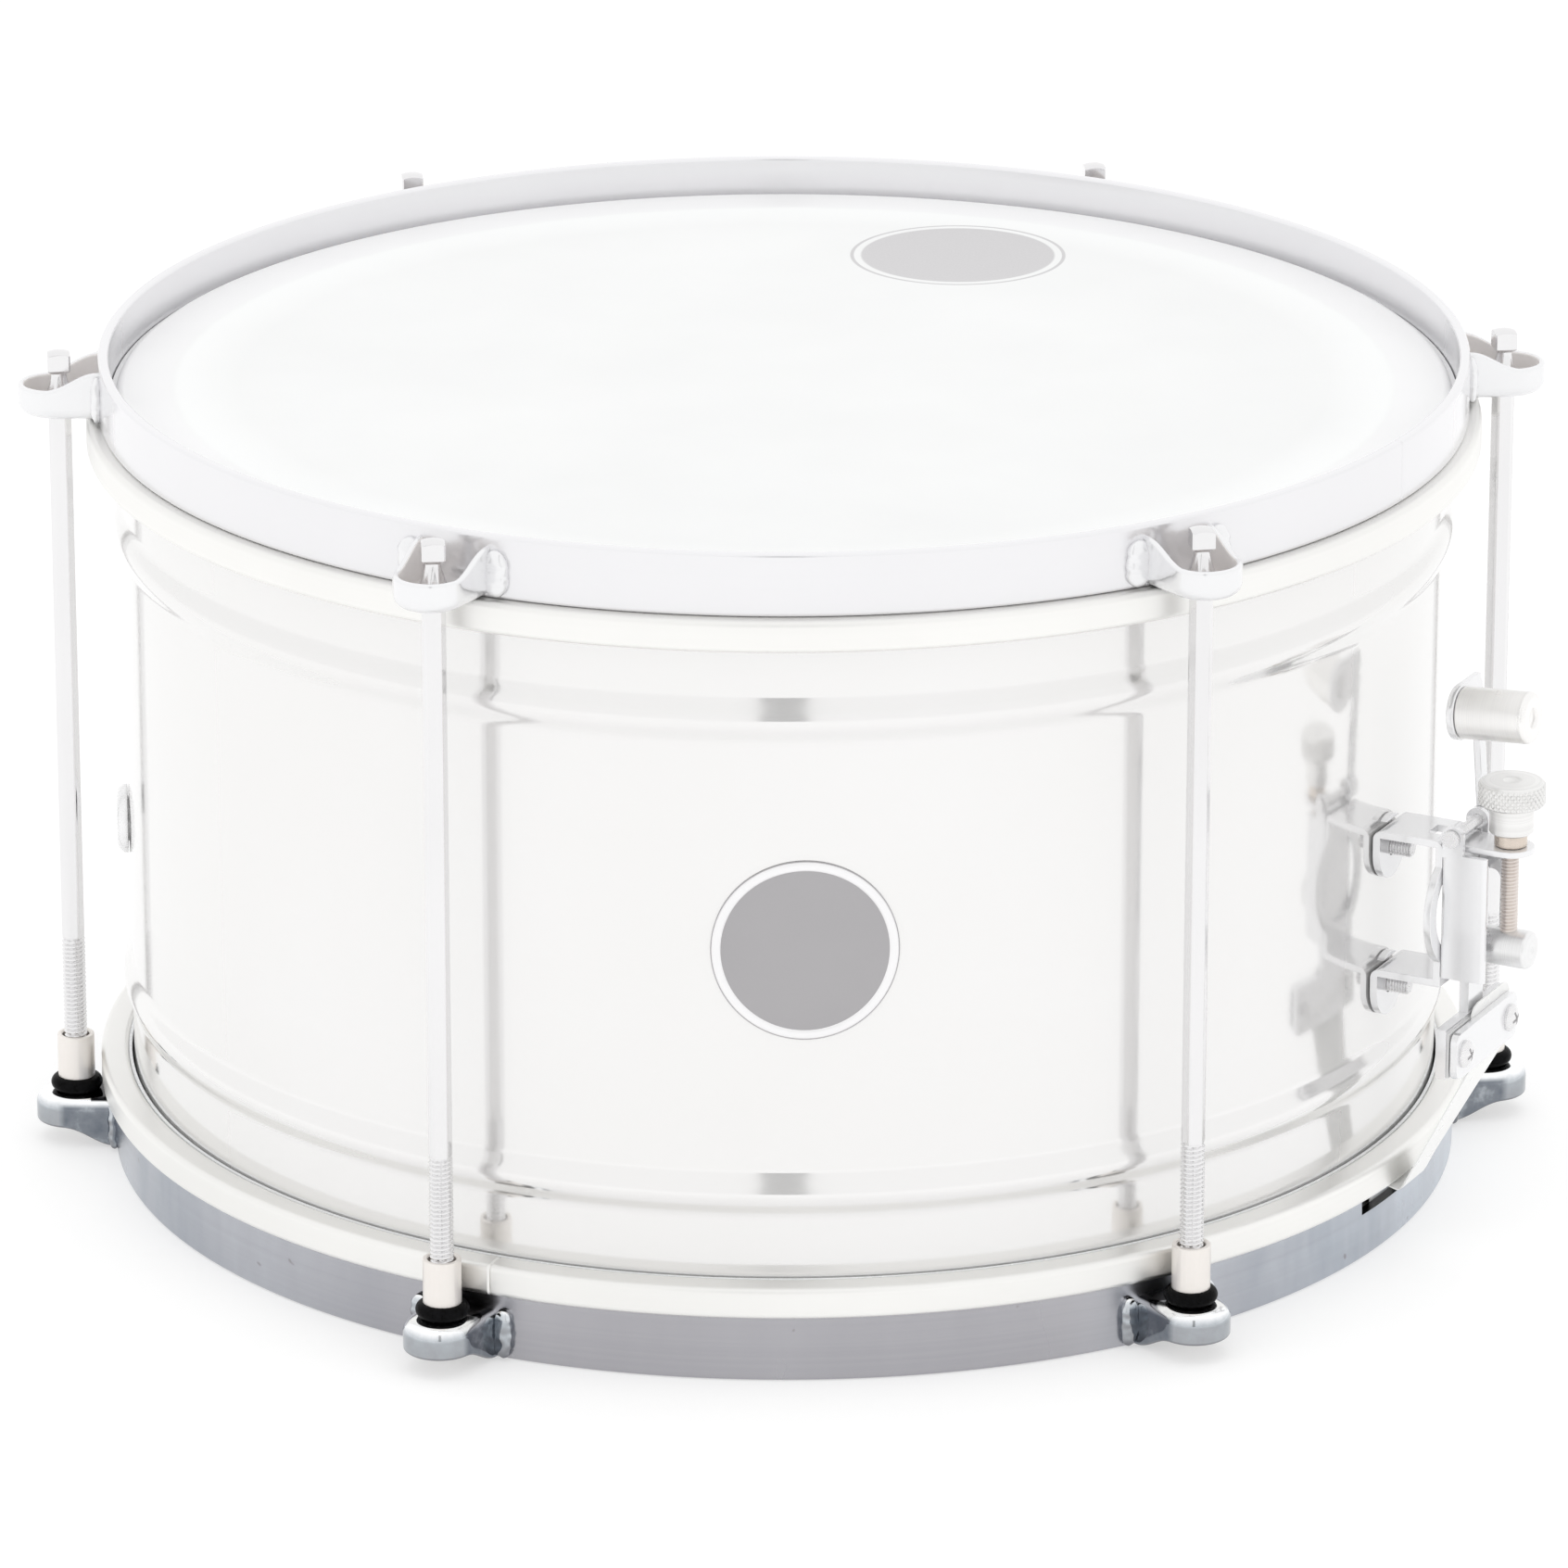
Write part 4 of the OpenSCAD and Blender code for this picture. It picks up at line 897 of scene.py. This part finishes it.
make("snare_wires_visual", strands, M["spring"], "snares", ["snare_wires"], angle=180,
     weighted=False)

STRAP_T, STRAP_TOP, STRAP_LOW = 0.4, 69.4, 52.0
END_Z = SKIN_LOW - 0.3 - 1.7


def strap_path(mid):
    """Centre line of a strap: from the clamp past the flesh hoop, through the gate and round the edge."""
    clamped = [(mid, z) for z in (STRAP_TOP, 68.8, 68.0, 67.0, 65.4, 60.0, 55.0, STRAP_LOW)]
    slope = [(mid + (185.6 - mid) * i / 8, STRAP_LOW + (18.4 - STRAP_LOW) * i / 8) for i in range(1, 9)]
    return clamped + slope + arc(183.4, 18.4, 1.9, -40, -90, 4) \
        + [(181.0, 17.15), (179.6, 17.3), (177.2, 17.2), (176.3, 16.5), (176.05, 14.5)] \
        + arc(171.65, 12.1, 4.4, -8, -90, 8) + [(164.0, END_Z + 0.2), (157.5, END_Z + STRAP_T / 2)]


def build_strap(az, mid, half, lean, gate):
    """A strip of film that follows the path, with rounded upper corners.

    lean is its shift along the rim at the top, and gate the span that it is gathered to in the hoop's gate.
    """
    path = [Vector(p) for p in strap_path(mid)]
    rings, corner = [], 4.0
    for i, p in enumerate(path):
        a = path[min(i + 1, len(path) - 1)] - path[max(i - 1, 0)]
        n = Vector((-a.y, a.x)).normalized() * STRAP_T / 2
        drop = max(0.0, p.y - (STRAP_TOP - corner))
        trim = corner - math.sqrt(max(0.0, corner ** 2 - drop ** 2)) if drop > 0 else 0.0
        up = min(1.0, max(0.0, (p.y - 24.0) / (STRAP_TOP - corner - 24.0)))
        t0, t1 = gate[0] + (lean - half - gate[0]) * up, gate[1] + (lean + half - gate[1]) * up
        row = [(t0 + trim, 1), (t1 - trim, 1), (t1 - trim, -1), (t0 + trim, -1)]
        rings.append([(p.x + n.x * s, t, p.y + n.y * s) for t, s in row])
    return Geo().loft(rings, around(az))


strap = make("throwoff_strap_visual", build_strap(STRAINER_AZ, 202.12, 12.4, 6.8, (-8.4, 5.6)), M["strap"],
             "snares", ["throwoff_strap"], angle=50)
make("butt_strap_visual", build_strap(BUTT_AZ, 188.62, 10.2, 0.0, (-10.2, 10.2)), M["strap"], "drum",
     ["butt_strap"], angle=50)
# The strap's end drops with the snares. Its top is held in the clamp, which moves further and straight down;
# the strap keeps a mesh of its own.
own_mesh(strap)


# ---------------------------------------------------------------- strainer and butt
def bolt_tips(az):
    geo = Geo()
    for z in BOLT_Z:
        m = around(az) @ outwards(SHELL_R, 0, z)
        thread(geo, 2.4, 1.95, 0.8, -2.0, 8.0, m, chamfer=0.5)
        geo.lathe([(0, -4.7), (3.0, -4.6), (4.6, -3.9), (4.8, -3.3), (4.8, -3.0), (0, -3.0)], 40, m)
        geo.lathe([(0, -3.2), (2.35, -3.2), (2.35, -1.9), (0, -1.9)], 32, m)
    return geo


make("strainer_bolts_visual", bolt_tips(STRAINER_AZ), M["steel"], "drum", ["strainer_bolts"],
     angle=40)
make("butt_bolts_visual", bolt_tips(BUTT_AZ), M["steel"], "drum", ["butt_bolts"], angle=40)

# The adjusting knob: knurled rim, turned top, collar.
knob = Geo()
knurls, rows, seg, rim_z = 35, 28, 35 * 8, 124.7
rings = []
for k in range(rows + 1):
    z = rim_z + 6.2 * k / rows
    row = []
    edge = max(0.0, 0.7 - min(z - rim_z, 130.9 - z))
    for i in range(seg):
        u, v = knurls * i / seg, (z - rim_z) / 1.75
        groove = max(1 - 3.2 * abs(((u + v) % 1) - 0.5), 1 - 3.2 * abs(((u - v) % 1) - 0.5), 0.0)
        r = min(8.7 - 0.42 * groove, 8.7 - edge)
        a = 2 * math.pi * i / seg
        row.append((r * math.cos(a), r * math.sin(a), z))
    rings.append(row)
knob_m = around(STRAINER_AZ) @ at(SCREW_R, 0, 0)
knob.loft(rings, knob_m)
knob.lathe([(0, 130.6), (8.05, 130.6), (8.05, 130.92), (7.85, 131.1), (2.6, 131.25), (2.2, 131.1),
            (0, 131.1)], 96, knob_m)
knob.lathe([(2.32, 117.1), (5.3, 117.1), (5.7, 117.5), (5.7, 124.2), (5.9, 124.8), (2.32, 124.8)], 72, knob_m)
make("adjusting_knob_visual", knob, M["knob"], "knob", ["adjusting_knob"], angle=35)
bush = Geo().lathe([(2.32, 113.62), (4.0, 113.62), (4.25, 113.9), (4.25, 116.2), (4.05, 116.5), (4.05, 117.1),
                    (2.32, 117.1)], 64, knob_m)
make("knob_bush_visual", bush, M["bush"], "knob", ["knob_bush"])
screw = Geo()
thread(screw, 2.3, 1.85, 0.95, 82.4, 125.9, knob_m, chamfer=0.5)
make("adjusting_screw_visual", screw, M["screw"], "knob", ["adjusting_screw"], angle=60)

# The cross nut that the screw drives.
cross = Geo()
cross_m = around(STRAINER_AZ) @ outwards(203.6, 0, CROSS_Z)
cross.lathe([(0, 0), (4.6, 0), (5.0, 0.4), (5.0, 11.2)] + arc(3.8, 11.4, 1.2, 0, 90, 6)
            + [(1.2, 12.6), (0.9, 12.45), (0, 12.45)], 80, cross_m)
cross.lathe([(0, -2.7), (3.0, -2.7), (3.0, 0.3), (0, 0.3)], 48, cross_m)
make("cross_nut_visual", cross, M["cross"], "slider", ["cross_nut"])

# The lever's grip, with faint turned grooves and a dished end.
grip = Geo()
side = [(6.4, 0.0), (6.8, 0.4)]
for k in range(60):
    side.append((6.8 - (0.03 if k % 2 else 0.0), 0.7 + 17.2 * k / 59))
grip.lathe([(0, 0)] + side + arc(5.4, 18.0, 1.4, 0, 90, 6)
           + [(2.9, 19.4), (2.5, 19.25), (2.3, 18.8), (1.5, 18.75), (1.2, 18.95), (0, 19.0)],
           96, GRIP_PLACE @ Matrix.Rotation(math.radians(90), 4, "Y"))
make("lever_grip_visual", grip, M["grip"], "lever", ["lever_grip"], angle=50)

for node in ("strainer_bracket", "strainer_housing", "butt_bracket", "carriage", "slider_bar", "clamp_plate",
             "butt_clamp_plate", "throwoff_lever"):
    dress(node, M["chrome"], 0.3)
for node in ("clamp_screws", "butt_clamp_screws", "lever_pivot_pin", "lever_grip_rivet",
             "strainer_bolt_washers", "butt_bolt_washers"):
    dress(node, M["steel"], 0.1)
for node in ("clamp_pad", "butt_clamp_pad"):
    dress(node, M["pad"], 0.08)
dress("snare_end_plates", M["brass"], 0.1)


# ---------------------------------------------------------------- studio
def plane(name, corners, mat):
    mesh = bpy.data.meshes.new(name)
    mesh.from_pydata(corners, [], [(0, 1, 2, 3)])
    mesh.materials.append(mat)
    obj = bpy.data.objects.new(name, mesh)
    bpy.context.scene.collection.objects.link(obj)
    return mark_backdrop(obj) or obj


def plain(name, low, high):
    """Matt paint, from a grey to a slightly lighter one."""
    n = Nodes(name)
    color = n.ramp(n.noise(0.8, detail=2.0), ((0.3, (low, low, low)), (0.7, (high, high, high))))
    n.link(color, n.bsdf.inputs["Base Color"])
    n.set(Roughness=0.9)
    return n.mat


# The floor glows a little, so that it is almost white and the drum's shadow on it is faint.
FLOOR_HALF, FLOOR_Z, FLOOR_GLOW = 9, -0.0002, 0.51
floor_paint = plain("pale_floor", 0.495, 0.505)
paint = floor_paint.node_tree.nodes["Principled BSDF"].inputs
paint["Emission Color"].default_value = (1, 1, 1, 1)
paint["Emission Strength"].default_value = FLOOR_GLOW
plane("floor", [(x * FLOOR_HALF, y * FLOOR_HALF, FLOOR_Z) for x, y in ((-1, -1), (1, -1), (1, 1), (-1, 1))],
      floor_paint)


def area_light(name, place, aim, size, power):
    light = bpy.data.lights.new(name, "AREA")
    light.shape, light.size, light.size_y = "RECTANGLE", size[0], size[1]
    light.energy = power
    obj = bpy.data.objects.new(name, light)
    obj.location = place
    obj.rotation_euler = (Vector(aim) - Vector(place)).to_track_quat("-Z", "Y").to_euler()
    bpy.context.scene.collection.objects.link(obj)
    obj.visible_glossy = False


CAMERA_AZ, CAMERA_EL, CAMERA_DIST, CAMERA_LENS = -2.94, 19.45, 2.615, 225.2

area_light("softbox_top", (0, 0.2, 2.6), (0, 0, 0.1), (2.6, 2.6), 9)
area_light("softbox_left", (-2.2, -1.6, 1.3), (0, 0, 0.1), (1.6, 1.8), 3)
area_light("softbox_right", (2.3, -1.2, 1.5), (0, 0, 0.1), (1.4, 1.8), 2)

# A narrow grey card behind the camera, for the gap between the softboxes that polished metal mirrors.
GAP_DIST, GAP_HALF, GAP_LOW, GAP_HIGH = 3.2, 0.215, 0.03, 4.2
facing = math.radians(CAMERA_AZ)
across = Vector((math.cos(facing), math.sin(facing), 0))
middle = Vector((math.sin(facing), -math.cos(facing), 0)) * GAP_DIST
corners = [middle + across * side * GAP_HALF + Vector((0, 0, z))
           for side, z in ((-1, GAP_LOW), (1, GAP_LOW), (1, GAP_HIGH), (-1, GAP_HIGH))]
card = plane("gap_card", corners, plain("gap_card_grey", 0.40, 0.43))
card.visible_camera = card.visible_diffuse = card.visible_shadow = card.visible_transmission = False

world = bpy.data.worlds.new("studio")
bpy.context.scene.world = world
world.use_nodes = True
world.node_tree.nodes["Background"].inputs["Color"].default_value = (1.0, 1.0, 1.0, 1)
world.node_tree.nodes["Background"].inputs["Strength"].default_value = 1.05
bpy.context.scene.view_settings.view_transform = "Standard"
bpy.context.scene.view_settings.look = "None"

camera_data = bpy.data.cameras.new("camera")
camera_data.sensor_width, camera_data.lens = 36, CAMERA_LENS
camera_data.clip_end = 50
camera = bpy.data.objects.new("camera", camera_data)
azimuth, elevation, target = math.radians(CAMERA_AZ), math.radians(CAMERA_EL), Vector((0, 0, 0.0964))
toward = Vector((math.sin(azimuth) * math.cos(elevation), -math.cos(azimuth) * math.cos(elevation),
                 math.sin(elevation)))
camera.location = target + toward * CAMERA_DIST
camera.rotation_euler = (-toward).to_track_quat("-Z", "Y").to_euler()
bpy.context.scene.collection.objects.link(camera)
bpy.context.scene.camera = camera

bpy.context.view_layer.update()
